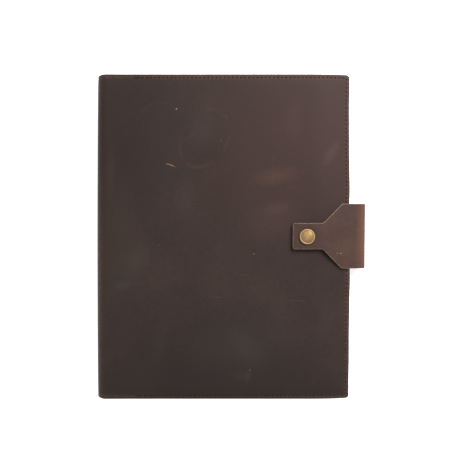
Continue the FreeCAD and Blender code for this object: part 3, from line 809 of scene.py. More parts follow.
def board(name: str, low: Vector, high: Vector, corner: float, bevel: float,
          materials: Sequence[bpy.types.Material], lining: int = 0) -> bpy.types.Object:
    """A flat board with round corners and softened edges.

    Args:
        name: The piece's name.
        low: Lowest corner.
        high: Highest corner.
        corner: Radius of the upright corners.
        bevel: Softening of the long edges.
        materials: Cover finish, and the lining finish where there is one.
        lining: 1 or -1 if the upper or lower face has the second finish.

    Returns:
        The new object.
    """
    work = bmesh.new()
    outline = []
    left, right = low.x + corner, high.x - corner
    bottom, top_line = low.y + corner, high.y - corner
    centres = ((right, top_line), (left, top_line), (left, bottom), (right, bottom))
    for quarter, (cx, cy) in enumerate(centres):
        for k in range(7):
            turn = math.pi / 2 * (quarter + k / 6)
            outline.append(work.verts.new((cx + corner * math.cos(turn),
                                           cy + corner * math.sin(turn), low.z)))
    base = work.faces.new(outline)
    top = bmesh.ops.extrude_face_region(work, geom=[base])["geom"]
    bmesh.ops.translate(work, vec=(0, 0, high.z - low.z),
                        verts=[v for v in top if isinstance(v, bmesh.types.BMVert)])
    flat_edges = [e for e in work.edges if abs(e.verts[0].co.z - e.verts[1].co.z) < TINY]
    bmesh.ops.bevel(work, geom=flat_edges, offset=bevel, segments=3, affect="EDGES", profile=0.5)
    bmesh.ops.recalc_face_normals(work, faces=work.faces)
    for face in work.faces:
        face.smooth = abs(face.normal.z) < LEVEL
        if lining and face.normal.z * lining > LEVEL:
            face.material_index = 1
    mesh = bpy.data.meshes.new(name)
    work.to_mesh(mesh)
    work.free()
    for material in materials:
        mesh.materials.append(material)
    return new_object(name, mesh)


# ---------------------------------------------------------------- the hide


@dataclass
class CoverHide:
    """The one hide that wraps the notebook, built as two halves that meet on the spine."""

    layout: Layout
    step: float = 3.2 * MM
    bend_steps: int = 18
    corner: float = 3.5 * MM
    edge_round: float = 0.45 * MM
    seam_inset: float = 3.2 * MM
    seam_depth: float = 0.22 * MM
    swell: float = 0.22 * MM
    stray: float = 0.6 * MM
    spine_taper: float = 1.3 * MM
    spine_bow: float = 0.8 * MM
    groove_width: float = 0.75 * MM
    squeeze: float = 0.12 * MM
    droop_lead: float = 7.5 * MM
    droop_power: float = 1.7
    sag: float = 0.45 * MM
    sag_width: float = 11 * MM
    calm_width: float = 14 * MM
    wave_size: float = 62 * MM
    ripple_size: float = 21 * MM
    ripple_share: float = 0.35
    seed: float = 2.4

    def front_drop(self, x: np.ndarray) -> np.ndarray:
        """How far the front cover hangs below its flat part, growing to the fore edge."""
        start = self.layout.droop_start - self.droop_lead
        part = np.clip((x - start) / (self.layout.fore - start), 0, 1)
        return self.layout.droop * part ** self.droop_power

    def unevenness(self, x: np.ndarray, y: np.ndarray) -> np.ndarray:
        """Slow waves of the front leather over the board."""
        waves = [ripple(float(a), float(b), self.wave_size, self.seed)
                 + self.ripple_share * ripple(float(a), float(b), self.ripple_size, self.seed + 4)
                 for a, b in zip(x.ravel(), y.ravel())]
        return np.array(waves).reshape(x.shape) * self.swell

    def outside(self, x: np.ndarray, y: np.ndarray, side: Side) -> np.ndarray:
        """Height of a cover's outer face, without its grooves; the back lies flat."""
        if side is Side.BACK:
            return np.zeros_like(x)
        ends = self.layout.half_height - np.abs(y)
        sag = self.sag * (1 - ease(0, self.sag_width, ends))
        start = ease(self.layout.tangent, self.layout.tangent + self.calm_width, x)
        height = self.layout.thickness - self.front_drop(x)
        return height - sag * start + self.unevenness(x, y) * start

    def path(self, side: Side) -> tuple[np.ndarray, np.ndarray, np.ndarray]:
        """Lines from the fore edge to the middle of the spine.

        Returns:
            X of each line on the flat cover or the bend's angle there, whether it is on the
            bend, and the unrolled distance.
        """
        flat = lines_between(0, self.layout.fore - self.layout.tangent, NEAR_EDGE, self.step,
                             both=False)
        turns = np.linspace(0, math.pi / 2, self.bend_steps + 1)[1:]
        on_bend = np.array([False] * len(flat) + [True] * len(turns))
        value = np.concatenate((self.layout.fore - flat, turns))
        middle = self.layout.bend - self.layout.hide / 2
        unrolled = np.concatenate((self.layout.fore - flat,
                                   self.layout.tangent - turns * middle))
        if side is Side.BACK:
            total = 2 * self.layout.tangent - math.pi * middle
            unrolled = total - unrolled
        return value, on_bend, unrolled

    def grid(self, side: Side) -> SheetGrid:
        """Points of one half of the hide."""
        lay = self.layout
        value, on_bend, unrolled = self.path(side)
        half = lay.half_height
        y_lines = lines_between(-half, half, NEAR_EDGE, self.step)
        x_flat = np.where(on_bend, lay.tangent, value)
        x, y = np.meshgrid(x_flat, y_lines, indexing="ij")
        edge_y = half - np.abs(y)
        edge_x = np.where(on_bend[:, None], FAR, lay.fore - x)
        edge = np.minimum(edge_x, edge_y)
        x, y = self.round_corner(x, y)
        x = x + self.waver(x, y)
        rounded = np.where(on_bend, np.sin(value), 0)[:, None] ** 2
        y = y * (1 - self.spine_taper / half * rounded)
        height = self.outside(x, y, side)
        drop = rounding(edge, self.edge_round)
        seam = channel(edge, self.seam_inset, self.groove_width)
        seam *= ease(lay.pocket_start - 2 * MM, lay.pocket_start + MM, x)
        dent = drop + seam * self.seam_depth
        squeeze = self.squeeze * (1 - ease(0, self.seam_inset, edge))
        sign = side.value
        outer = np.stack((x, y, height - sign * (dent + squeeze)), axis=2)
        inner = np.stack((x, y, height - sign * (lay.hide - drop)), axis=2)
        turn = np.where(on_bend, value, 0)[:, None]
        for points, radius in ((outer, lay.bend - dent), (inner, lay.bend - lay.hide + drop)):
            bow = self.spine_bow * (1 - (y / half) ** 2) * np.sin(turn) ** 2
            bent_x = lay.tangent - radius * np.sin(turn) - bow
            bent_z = lay.bend + sign * radius * np.cos(turn)
            points[..., 0] = np.where(on_bend[:, None], bent_x, points[..., 0])
            points[..., 2] = np.where(on_bend[:, None], bent_z, points[..., 2])
        hide = np.stack((np.broadcast_to(unrolled[:, None], x.shape), y), axis=2)
        crown = np.exp(-((np.where(on_bend, value, 0) - 0.9) / 0.45) ** 2)[:, None]
        crown = crown * on_bend[:, None]
        border = ease(0.6 * MM, 1.3 * MM, edge) * (1 - ease(2.4 * MM, 5.5 * MM, edge))
        wear = 0.25 * border + 0.22 * crown
        return SheetGrid(outer, inner, hide, edge, np.clip(wear, 0, 1), seam)

    def waver(self, x: np.ndarray, y: np.ndarray) -> np.ndarray:
        """How far the hand-cut fore edge strays, fading out over the border."""
        beside_tab = np.exp(-((np.abs(y) - 44 * MM) / (14 * MM)) ** 2)
        to_tail = ease(-60 * MM, -115 * MM, y)
        slow = np.array([ripple(0.0, float(v), 40 * MM, 1.7) for v in y.ravel()])
        stray = 0.6 * MM * (beside_tab - to_tail) + self.stray * slow.reshape(y.shape)
        return stray * ease(self.layout.fore - 20 * MM, self.layout.fore, x)

    def round_corner(self, x: np.ndarray, y: np.ndarray) -> tuple[np.ndarray, np.ndarray]:
        """Moves the grid's fore-edge corners onto an arc."""
        centre_x = self.layout.fore - self.corner
        centre_y = self.layout.half_height - self.corner
        along, up = x - centre_x, np.abs(y) - centre_y
        inside = (along > 0) & (up > 0)
        reach = np.sqrt(along ** 2 + up ** 2)
        factor = np.where(inside, np.maximum(along, up) / np.maximum(reach, 1e-12), 1.0)
        new_x = np.where(inside, centre_x + along * factor, x)
        new_y = np.where(inside, np.sign(y) * (centre_y + up * factor), y)
        return new_x, new_y

    def build(self, materials: Sequence[bpy.types.Material]) -> None:
        """Makes both halves, each rounded over its half of the spine."""
        jobs = ((Side.BACK, "hide_back_half", "back_cover", "back_cover_leather"),
                (Side.FRONT, "hide_front_half", "front_cover", "front_cover_leather"))
        for side, name, body, node in jobs:
            piece = self.grid(side).build(name, materials)
            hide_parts(node, "spine_leather")
            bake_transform(piece)
            LOG.info("%s: %d faces", name, len(piece.data.polygons))


# ---------------------------------------------------------------- the pockets


# how far along the leather's pattern each pocket is cut, in metres
POCKET_SHIFT = {Side.FRONT: 0.9, Side.BACK: 1.7}


@dataclass
class Pocket:
    """A thin leather sheet sewn on three sides that holds one of the notebook's boards."""

    layout: Layout
    hide: CoverHide
    side: Side
    border: float = 6.0 * MM
    slope: float = 4.0 * MM
    edge_round: float = 0.3 * MM
    step: float = 3.5 * MM
    groove_width: float = 0.7 * MM
    groove_depth: float = 0.15 * MM
    rub_width: float = 0.8 * MM

    def lift(self, x: np.ndarray, y: np.ndarray) -> np.ndarray:
        """0 on the sewn border and 1 over the board or over the tab's root."""
        lay = self.layout
        ends = lay.half_height - self.border - np.abs(y)
        over = np.minimum(ends, lay.droop_start + self.slope - x)
        rise = ease(0, self.slope, over)
        if self.side is Side.BACK:
            root_y = lay.tab_half + self.slope - np.abs(y)
            root_x = x - (lay.root_start - self.slope)
            rise = np.maximum(rise, ease(0, self.slope, np.minimum(root_y, root_x)))
        return rise

    def outer_height(self, x: np.ndarray, y: np.ndarray) -> np.ndarray:
        """Height of the face that touches the hide and the board."""
        lay = self.layout
        sign = self.side.value
        against = self.hide.outside(x, y, self.side) - sign * lay.hide
        return against - sign * lay.slot_depth * self.lift(x, y)

    def grid(self) -> SheetGrid:
        """Points of the sheet; its grain side faces the notebook."""
        lay = self.layout
        half = lay.half_height
        x_lines = lines_between(lay.pocket_start, lay.fore, NEAR_EDGE, self.step)
        y_lines = lines_between(-half, half, NEAR_EDGE, self.step)
        x, y = np.meshgrid(x_lines, y_lines, indexing="ij")
        edge = np.minimum(np.minimum(x - lay.pocket_start, lay.fore - x), half - np.abs(y))
        sewn = np.minimum(lay.fore - x, half - np.abs(y))
        x, y = self.hide.round_corner(x, y)
        x = x + self.hide.waver(x, y)
        sign = self.side.value
        far = self.outer_height(x, y)
        drop = rounding(edge, self.edge_round)
        seam = channel(sewn, self.hide.seam_inset, self.groove_width)
        flesh = np.stack((x, y, far - sign * drop), axis=2)
        depth = lay.pocket_sheet - drop - self.groove_depth * seam
        grain = np.stack((x, y, far - sign * depth), axis=2)
        hide = np.stack((x + POCKET_SHIFT[self.side], y), axis=2)
        wear = 0.35 * np.exp(-(edge / self.rub_width) ** 2)
        return SheetGrid(grain, flesh, hide, edge, wear, seam, edge_width=0.2 * MM)

    def build(self, materials: Sequence[bpy.types.Material]) -> bpy.types.Object:
        """Makes the pocket and hangs it on its cover."""
        label = self.side.name.lower()
        piece = self.grid().build(f"{label}_pocket_sheet", materials)
        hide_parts(f"{label}_pocket")
        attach(piece, f"{label}_cover")
        return piece


# ---------------------------------------------------------------- the seams


@dataclass
class Seams:
    """Rows of stitches along the head, fore edge and tail of both covers, inside and out."""

    layout: Layout
    hide: CoverHide
    pockets: dict[Side, Pocket]
    material: bpy.types.Material
    pitch: float = 4.0 * MM
    stitch_length: float = 2.5 * MM
    stitch_width: float = 1.1 * MM
    slant: float = 14.0
    unevenness: float = 3.0
    seed: int = 11
    arch: float = 0.17 * MM
    dive: float = 0.42 * MM
    corner: float = 1.6 * MM
    late_start: float = 4.0 * MM
    head_extra: float = 3 * MM
    sewn_back: float = 3.2
    sewn_back_inset: float = 0.45 * MM
    sewn_back_lift: float = 0.12 * MM
    back_sink: float = 0.16 * MM
    pocket_sink: float = 0.1 * MM

    def stitch(self) -> bpy.types.Object:
        """One slightly arched stitch whose ends dive into the leather."""
        work = bmesh.new()
        turns = work.loops.layers.uv.new("twist")
        rings, around, along = [], 6, 6
        for i in range(along + 1):
            part = i / along
            swell = math.sin(math.pi * min(max(part, 0.06), 0.94)) ** 0.45
            x = (part - 0.5) * self.stitch_length
            z = self.arch - self.dive * (2 * part - 1) ** 4
            ring = [work.verts.new((x, math.cos(a) * swell * self.stitch_width / 2,
                                    z + math.sin(a) * swell * self.stitch_width * 0.3))
                    for a in (2 * math.pi * k / around for k in range(around))]
            rings.append(ring)
        for i, (low, high) in enumerate(zip(rings, rings[1:])):
            for k in range(around):
                n = (k + 1) % around
                face = work.faces.new((low[k], low[n], high[n], high[k]))
                face.smooth = True
                corners = ((i, k), (i, k + 1), (i + 1, k + 1), (i + 1, k))
                for loop, (s, t) in zip(face.loops, corners):
                    loop[turns].uv = (s * 0.9 + t * 0.6, t / around)
        work.faces.new(rings[0][::-1])
        work.faces.new(rings[-1])
        bmesh.ops.recalc_face_normals(work, faces=work.faces)
        mesh = bpy.data.meshes.new("one_stitch")
        work.to_mesh(mesh)
        work.free()
        return new_object("one_stitch", mesh)

    def tree(self, stitch: bpy.types.Object) -> bpy.types.NodeTree:
        """Geometry nodes that set stitches along a line.

        Args:
            stitch: The stitch that is repeated.

        Returns:
            The node tree, with inputs Pitch, Slant, Unevenness and Seed.
        """
        tree = bpy.data.node_groups.new("stitch_row", "GeometryNodeTree")
        face = tree.interface
        face.new_socket("Geometry", in_out="INPUT", socket_type="NodeSocketGeometry")
        for name, kind in (("Pitch", "NodeSocketFloat"), ("Slant", "NodeSocketFloat"),
                           ("Unevenness", "NodeSocketFloat"), ("Seed", "NodeSocketInt")):
            face.new_socket(name, in_out="INPUT", socket_type=kind)
        face.new_socket("Geometry", in_out="OUTPUT", socket_type="NodeSocketGeometry")
        new, link = tree.nodes.new, tree.links.new
        start, end = new("NodeGroupInput"), new("NodeGroupOutput")
        curve = new("GeometryNodeMeshToCurve")
        even = new("GeometryNodeResampleCurve")
        even.mode = "LENGTH"
        link(start.outputs["Geometry"], curve.inputs["Mesh"])
        link(curve.outputs["Curve"], even.inputs["Curve"])
        link(start.outputs["Pitch"], even.inputs["Length"])
        normal = new("GeometryNodeInputNamedAttribute")
        normal.data_type = "FLOAT_VECTOR"
        normal.inputs["Name"].default_value = "outside"
        tangent = new("GeometryNodeInputTangent")
        upright = new("FunctionNodeAlignRotationToVector")
        upright.axis = "Z"
        link(normal.outputs["Attribute"], upright.inputs["Vector"])
        along = new("FunctionNodeAlignRotationToVector")
        along.axis, along.pivot_axis = "X", "Z"
        link(upright.outputs["Rotation"], along.inputs["Rotation"])
        link(tangent.outputs["Tangent"], along.inputs["Vector"])
        vary = new("FunctionNodeRandomValue")
        vary.data_type = "FLOAT"
        vary.inputs["Min"].default_value, vary.inputs["Max"].default_value = -1.0, 1.0
        link(start.outputs["Seed"], vary.inputs["Seed"])
        wobble = new("ShaderNodeMath")
        wobble.operation = "MULTIPLY_ADD"
        drawn = [s for s in vary.outputs if s.type == "VALUE" and s.enabled][0]
        link(drawn, wobble.inputs[0])
        link(start.outputs["Unevenness"], wobble.inputs[1])
        link(start.outputs["Slant"], wobble.inputs[2])
        tilt = new("FunctionNodeAxisAngleToRotation")
        tilt.inputs["Axis"].default_value = (0, 0, 1)
        link(wobble.outputs[0], tilt.inputs["Angle"])
        turned = new("FunctionNodeRotateRotation")
        turned.rotation_space = "LOCAL"
        link(along.outputs["Rotation"], turned.inputs["Rotation"])
        link(tilt.outputs["Rotation"], turned.inputs["Rotate By"])
        source = new("GeometryNodeObjectInfo")
        source.inputs["Object"].default_value = stitch
        place = new("GeometryNodeInstanceOnPoints")
        link(even.outputs["Curve"], place.inputs["Points"])
        link(source.outputs["Geometry"], place.inputs["Instance"])
        link(turned.outputs["Rotation"], place.inputs["Rotation"])
        real = new("GeometryNodeRealizeInstances")
        dress = new("GeometryNodeSetMaterial")
        dress.inputs["Material"].default_value = self.material
        link(place.outputs["Instances"], real.inputs["Geometry"])
        link(real.outputs["Geometry"], dress.inputs["Geometry"])
        link(dress.outputs["Geometry"], end.inputs["Geometry"])
        return tree

    def route(self, surface: Callable[[np.ndarray, np.ndarray], np.ndarray], start: float,
              inset: float) -> np.ndarray:
        """Points of the seam: along the tail, up the fore edge and back along the head."""
        lay = self.layout
        x_end, y_end = lay.fore - inset, lay.half_height - inset
        soft = self.corner
        tail = np.linspace(start, x_end - soft, 60)
        turn = np.linspace(-math.pi / 2, 0, 5)
        x = list(tail) + list(x_end - soft + soft * np.cos(turn))
        y = [-y_end] * len(tail) + list(-y_end + soft + soft * np.sin(turn))
        rise = np.linspace(-y_end + soft, y_end - soft, 90)[1:]
        x += [x_end] * len(rise) + list(x_end - soft + soft * np.cos(-turn[::-1]))[1:]
        y += list(rise) + list(y_end - soft + soft * np.sin(-turn[::-1]))[1:]
        head = np.linspace(x_end - soft, start - self.head_extra, 60)[1:]
        x += list(head)
        y += [y_end] * len(head)
        x, y = np.array(x), np.array(y)
        x = x + self.hide.waver(x, y)
        return np.stack((x, y, surface(x, y)), axis=1)

    def line(self, name: str, runs: Sequence[np.ndarray], up: float) -> bpy.types.Object:
        """A mesh of open lines that carries the direction of the outside."""
        points, edges = [], []
        for run in runs:
            first = len(points)
            points += run.tolist()
            edges += [(first + k, first + k + 1) for k in range(len(run) - 1)]
        mesh = bpy.data.meshes.new(name)
        mesh.from_pydata(points, edges, [])
        normals = np.tile((0.0, 0.0, up), len(points)).astype(np.float32)
        mesh.attributes.new("outside", "FLOAT_VECTOR", "POINT").data.foreach_set(
            "vector", normals)
        return new_object(name, mesh)

    def row(self, name: str, side: Side, outside: bool, tree: bpy.types.NodeTree) -> None:
        """One whole row: the seam and the few stitches sewn back over its two ends."""
        lay, sign = self.layout, side.value
        sink = self.hide.seam_depth * 0.8 + (self.back_sink if side is Side.BACK else 0)

        def surface(x: np.ndarray, y: np.ndarray) -> np.ndarray:
            """Height of the stitch line."""
            if outside:
                return self.hide.outside(x, y, side) - sign * sink
            depth = lay.pocket_sheet - self.pocket_sink
            return self.pockets[side].outer_height(x, y) - sign * depth

        up = float(sign if outside else -sign)
        start = lay.pocket_start + (self.late_start if side is Side.FRONT else 0.0)
        whole = self.route(surface, start, self.hide.seam_inset)
        back = self.sewn_back * self.pitch
        inset = self.hide.seam_inset
        runs = [whole]
        for y_sign, begin in ((-1, start), (1, start - self.head_extra)):
            x = np.linspace(begin + 0.5 * self.pitch, begin + back, 8)
            y = np.full(8, y_sign * (lay.half_height - inset - self.sewn_back_inset))
            runs.append(np.stack((x, y, surface(x, y) + up * self.sewn_back_lift), axis=1))
        guide = self.line(f"{name}_line", runs, up)
        sewing = guide.modifiers.new("stitches", "NODES")
        sewing.node_group = tree
        slant = self.slant * (1 if outside else -1)
        values = {"Pitch": self.pitch, "Slant": math.radians(slant),
                  "Unevenness": math.radians(self.unevenness), "Seed": self.seed + len(name)}
        for item in tree.interface.items_tree:
            if item.in_out == "INPUT" and item.name in values:
                sewing[item.identifier] = values[item.name]
        bpy.context.view_layer.update()
        graph = bpy.context.evaluated_depsgraph_get()
        mesh = bpy.data.meshes.new_from_object(guide.evaluated_get(graph))
        mesh.name = name
        bpy.data.objects.remove(guide)
        piece = new_object(name, mesh)
        if outside:
            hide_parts(f"{side.name.lower()}_seam_thread")
        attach(piece, f"{side.name.lower()}_cover")
        LOG.info("%s: %d faces", name, len(mesh.polygons))

    def build(self) -> None:
        """Sews all four rows."""
        stitch = self.stitch()
        tree = self.tree(stitch)
        for side in Side:
            label = side.name.lower()
            self.row(f"{label}_outer_stitches", side, True, tree)
            self.row(f"{label}_inner_stitches", side, False, tree)
        bpy.data.objects.remove(stitch)


# ---------------------------------------------------------------- the tab


@dataclass
class Tab:
    """The strap that is sewn under the back pocket, folds over the fore edge and snaps."""

    layout: Layout
    shoulder_inset: float = 23.8 * MM
    neck_inset: float = 42.8 * MM
    tongue_half: float = 12.7 * MM
    end_corner: float = 2.2 * MM
    fold_radius: float = 5.5 * MM
    edge_round: float = 0.4 * MM
    rise_from: float = 254.0 * MM
    rise_to: float = 217.0 * MM
    lean: float = 0.012
    shift: float = 0.4 * MM
    tip_drop: float = 0.5 * MM
    tip_length: float = 14 * MM
    root_step: float = 2.0 * MM
    flap_step: float = 1.1 * MM
    press_depth: float = 0.28 * MM
    press_radius: float = 6.5 * MM
    press_width: float = 2.4 * MM
    wave_size: float = 16 * MM
    wave_depth: float = 0.12 * MM
    pattern_start: float = 0.6
    blend_lead: float = 3 * MM

    @property
    def tangent(self) -> float:
        """X where the flat strap meets the fold's rounded corners."""
        return self.layout.fold_out - self.fold_radius

    @property
    def fold_top(self) -> float:
        """Height of the fold's outer face where it lies over the front cover."""
        lay = self.layout
        return lay.thickness - lay.droop + CLEARANCE + lay.strap

    def half_width(self, x: np.ndarray) -> np.ndarray:
        """Half the tab's width over the front cover, with softened corners."""
        lay = self.layout
        shoulder = lay.fold_out - self.shoulder_inset
        neck = lay.fold_out - self.neck_inset
        total = np.zeros_like(x)
        offsets = (-1.4, -0.7, 0.0, 0.7, 1.4)
        for offset in offsets:
            part = np.clip((x + offset * MM - neck) / (shoulder - neck), 0, 1)
            total += self.tongue_half + (lay.tab_half - self.tongue_half) * part
        width = total / len(offsets)
        close = np.clip(self.end_corner - (x - lay.tongue_end), 0, self.end_corner)
        return width - (self.end_corner - np.sqrt(self.end_corner ** 2 - close ** 2))

    def flap_middle(self, x: np.ndarray) -> np.ndarray:
        """Height of the flap's middle layer: up from the fold, level at the snap."""
        lay = self.layout
        low = lay.thickness - lay.droop + CLEARANCE + lay.strap / 2
        high = lay.flap_under + lay.strap / 2
        rise = 1 - ease(lay.spine + self.rise_to, lay.spine + self.rise_from, x)
        end = self.tip_drop * ease(self.tip_length, 0, x - lay.tongue_end)
        return low + (high - low) * rise - end

    def centre_line(self) -> tuple[np.ndarray, np.ndarray, np.ndarray, int]:
        """The strap's middle layer from its root to the tongue's end.

        Returns:
            X and Z of each line, half widths, and the number of the line half way up the fold.
        """
        lay = self.layout
        middle = self.fold_radius - lay.strap / 2
        tangent = self.tangent
        low = lay.fold_low + self.fold_radius
        high = self.fold_top - self.fold_radius
        root = lines_between(lay.root_start, tangent, NEAR_STRAP, self.root_step, both=False)
        turns = np.linspace(0, math.pi / 2, 11)
        x = list(root) + list(tangent + middle * np.sin(turns[1:]))
        z = [lay.fold_low + lay.strap / 2] * len(root) + list(low - middle * np.cos(turns[1:]))
        rise = np.linspace(low, high, 5)[1:]
        half_way = len(x) + 1
        x += [tangent + middle] * len(rise)
        z += list(rise)
        x += list(tangent + middle * np.cos(turns[1:]))
        z += list(high + middle * np.sin(turns[1:]))
        flap = lines_between(lay.tongue_end, tangent, NEAR_STRAP, self.flap_step, both=False)
        flap = flap[::-1][1:]
        x += list(flap)
        z += list(self.flap_middle(flap))
        x, z = np.array(x), np.array(z)
        width = np.full(len(x), lay.tab_half)
        width[-len(flap):] = self.half_width(flap)
        return x, z, width, half_way

    def grid(self) -> tuple[SheetGrid, int]:
        """Points of the whole strap, and the row where it is parted at the fold."""
        lay = self.layout
        x, z, width, half_way = self.centre_line()
        along = np.concatenate(([0], np.cumsum(np.hypot(np.diff(x), np.diff(z)))))
        slope_x, slope_z = np.gradient(x, along), np.gradient(z, along)
        length = np.hypot(slope_x, slope_z)
        normal_x, normal_z = slope_z / length, -slope_x / length
        inner_lines = np.linspace(-1, 1, 22)
        near = np.array(NEAR_STRAP)
        columns = []
        for half in width:
            body = inner_lines * (half - near[-1])
            columns.append(np.concatenate((-half + near[:-1], body, (half - near[:-1])[::-1])))
        y = np.array(columns)
        edge_side = width[:, None] - np.abs(y)
        ends = np.minimum(along, along[-1] - along)[:, None]
        edge = np.minimum(edge_side, ends)
        drop = rounding(edge, self.edge_round)
        around_snap = np.hypot(x[:, None] - lay.snap[0], y - lay.snap[1])
        on_flap = (np.arange(len(x)) > half_way)[:, None]
        ring = (around_snap - self.press_radius) / self.press_width
        press = self.press_depth * np.exp(-ring ** 2) * on_flap
        uneven = np.array([[ripple(a + 0.5, b, self.wave_size, 5.1) for b in row]
                           for a, row in zip(along, y)]) * self.wave_depth
        off = lay.strap / 2 - drop
        outer = np.stack((x[:, None] + normal_x[:, None] * (off - press + uneven), y,
                          z[:, None] + normal_z[:, None] * (off - press + uneven)), axis=2)
        inner = np.stack((x[:, None] - normal_x[:, None] * (off - uneven), y,
                          z[:, None] - normal_z[:, None] * (off - uneven)), axis=2)
        hide = np.stack((np.broadcast_to(self.pattern_start - along[:, None], y.shape), y), axis=2)
        past_edge = x > self.tangent
        bend = (np.exp(-((np.abs(normal_z) - 0.75) / 0.25) ** 2) * past_edge)[:, None]
        by_fold = np.exp(-((along - along[half_way]) / (26 * MM)) ** 2)[:, None]
        wear = 0.12 * bend + 0.06 * by_fold + 0.35 * np.exp(-(edge / (0.6 * MM)) ** 2)
        for points in (outer, inner):
            points[..., 0] += points[..., 1] * self.lean
            points[..., 1] += self.shift
        return SheetGrid(outer, inner, hide, edge, np.clip(wear, 0, 1),
                         np.zeros_like(y), edge_width=0.25 * MM), half_way

    def build(self, materials: Sequence[bpy.types.Material]) -> None:
        """Makes the strap's two halves, parted half way up the fold."""
        lay = self.layout
        whole, cut = self.grid()
        low, high = lay.fold_low, self.fold_top
        middle = (low + high) / 2
        jobs = (("tab_lower_half", slice(None, cut + 1), "back_cover", "tab_root", low, middle),
                ("tab_upper_half", slice(cut, None), "tab_flap", "tab_flap", high, middle))
        for name, rows, body, node, face_z, end_z in jobs:
            part = SheetGrid(whole.outer[rows], whole.inner[rows], whole.hide[rows],
                             whole.edge[rows], whole.wear[rows], whole.seam[rows],
                             whole.edge_width)
            piece = part.build(name, materials)
            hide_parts(node, "tab_fold")
            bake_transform(piece)
            LOG.info("%s: %d faces", name, len(piece.data.polygons))


# ---------------------------------------------------------------- the snap


@dataclass
class Snap:
    """The snap fastener: a turned cap, with the socket, stud and post of the frame."""

    layout: Layout
    material: bpy.types.Material
    radius: float = 7.5 * MM
    neck: float = 7.2 * MM
    barrel: float = 1.9 * MM
    rim_middle: float = 6.75 * MM
    rim_round: float = 0.75 * MM
    dome_edge: float = 6.15 * MM

    def cap_profile(self) -> list[tuple[float, float, float]]:
        """Radius, height and polish, from the barrel's foot to the top of the dome."""
        low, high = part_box("snap_cap")
        face = self.layout.flap_under + self.layout.strap
        rise = high.z - face
        sunk = face - 0.2 * MM
        points = [(0.0, low.z, 0.0), (self.barrel, low.z, 0.0), (self.barrel, sunk, 0.0),
                  (self.neck, sunk, 0.0), (self.radius, face + 0.1 * MM, 0.2)]
        for k in range(9):
            turn = math.pi * k / 8
            points.append((self.rim_middle + self.rim_round * math.cos(turn),
                           face + rise * 0.42 + self.rim_round * math.sin(turn) * 0.8,
                           0.25 + 0.75 * math.sin(turn)))
        dome_low = face + rise * 0.56
        for k in range(13):
            part = k / 12
            points.append((self.dome_edge * math.cos(part * math.pi / 2),
                           dome_low + (high.z - dome_low) * math.sin(part * math.pi / 2) ** 1.1,
                           0.05 + 0.4 * part ** 2))
        points[-1] = (0.0, high.z, 0.45)
        return points

    def build(self) -> None:
        """Makes the cap and dresses the other three parts."""
        cap = lathe("snap_cap_dome", self.cap_profile(), self.layout.snap, self.material)
        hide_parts("snap_cap")
        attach(cap, "tab_flap")
        for node in ("snap_socket", "snap_stud", "snap_post"):
            dress(node, self.material)


def dress(node: str, material: bpy.types.Material) -> None:
    """Gives a frame node a finish."""
    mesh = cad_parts[node].data
    if not mesh.materials:
        mesh.materials.append(material)
    for index in range(len(mesh.materials)):
        mesh.materials[index] = material


# ---------------------------------------------------------------- the notebook


@dataclass
class Notebook:
    """The hardback notebook: cloth boards, a spine cloth and gathered pages."""

    cloth: bpy.types.Material
    paper: bpy.types.Material
    corner: float = 4.0 * MM
    board_bevel: float = 0.35 * MM
    leaf_corner: float = 2.5 * MM
    leaf_bevel: float = 0.12 * MM
    leaf_inset: float = 0.1 * MM
    leaf_gap: float = 0.01 * MM
    trim: float = 0.35
    gatherings: int = 9
    seed: int = 4

    def build(self) -> None:
        """Makes the boards and the page block round the frame's boxes."""
        for label, lining in (("back", 1), ("front", -1)):
            node = f"notebook_{label}_board"
            low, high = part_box(node)
            piece = board(f"{label}_board_cloth", low, high, self.corner, self.board_bevel,
                          (self.cloth, self.paper), lining)
            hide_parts(node)
            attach(piece, f"{label}_cover")
        self.pages()
        dress("notebook_spine_cloth", self.cloth)

    def pages(self) -> None:
        """The page block, as gatherings of leaves whose cut edges don't quite line up."""
        low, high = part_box("notebook_page_block")
        rng = np.random.default_rng(self.seed)
        thick = (high.z - low.z) / self.gatherings
        meshes = []
        for k in range(self.gatherings):
            trim = rng.uniform(0.0, self.trim, 3) * MM
            bottom = low.z + k * thick
            small = Vector((low.x + self.leaf_inset, low.y + trim[0], bottom + self.leaf_gap))
            large = Vector((high.x - trim[1], high.y - trim[2],
                            bottom + thick - self.leaf_gap))
            meshes.append(board(f"gathering_{k}", small, large, self.leaf_corner,
                                self.leaf_bevel, (self.paper,)))
        work = bmesh.new()
        for piece in meshes:
            work.from_mesh(piece.data)
            bpy.data.objects.remove(piece)
        mesh = bpy.data.meshes.new("page_block_leaves")
        work.to_mesh(mesh)
        work.free()
        mesh.materials.append(self.paper)
        block = new_object("page_block_leaves", mesh)
        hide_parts("notebook_page_block")
        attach(block, "back_cover")


# ---------------------------------------------------------------- the studio


@dataclass(frozen=True)
class Lamp:
    """A square soft light that faces the cover."""

    name: str
    place: tuple[float, float, float]
    size: float
    power: float
    colour: Colour


LAMPS = (
    Lamp("key", (0.5, 0.55, 0.8), 0.5, 13.5, (1.0, 0.98, 0.96)),
    Lamp("fill", (-0.85, -0.25, 0.9), 1.1, 2.5, (0.97, 0.98, 1.0)),
    Lamp("back", (0.1, 0.95, 0.5), 0.8, 3.0, (1.0, 1.0, 1.0)),
)


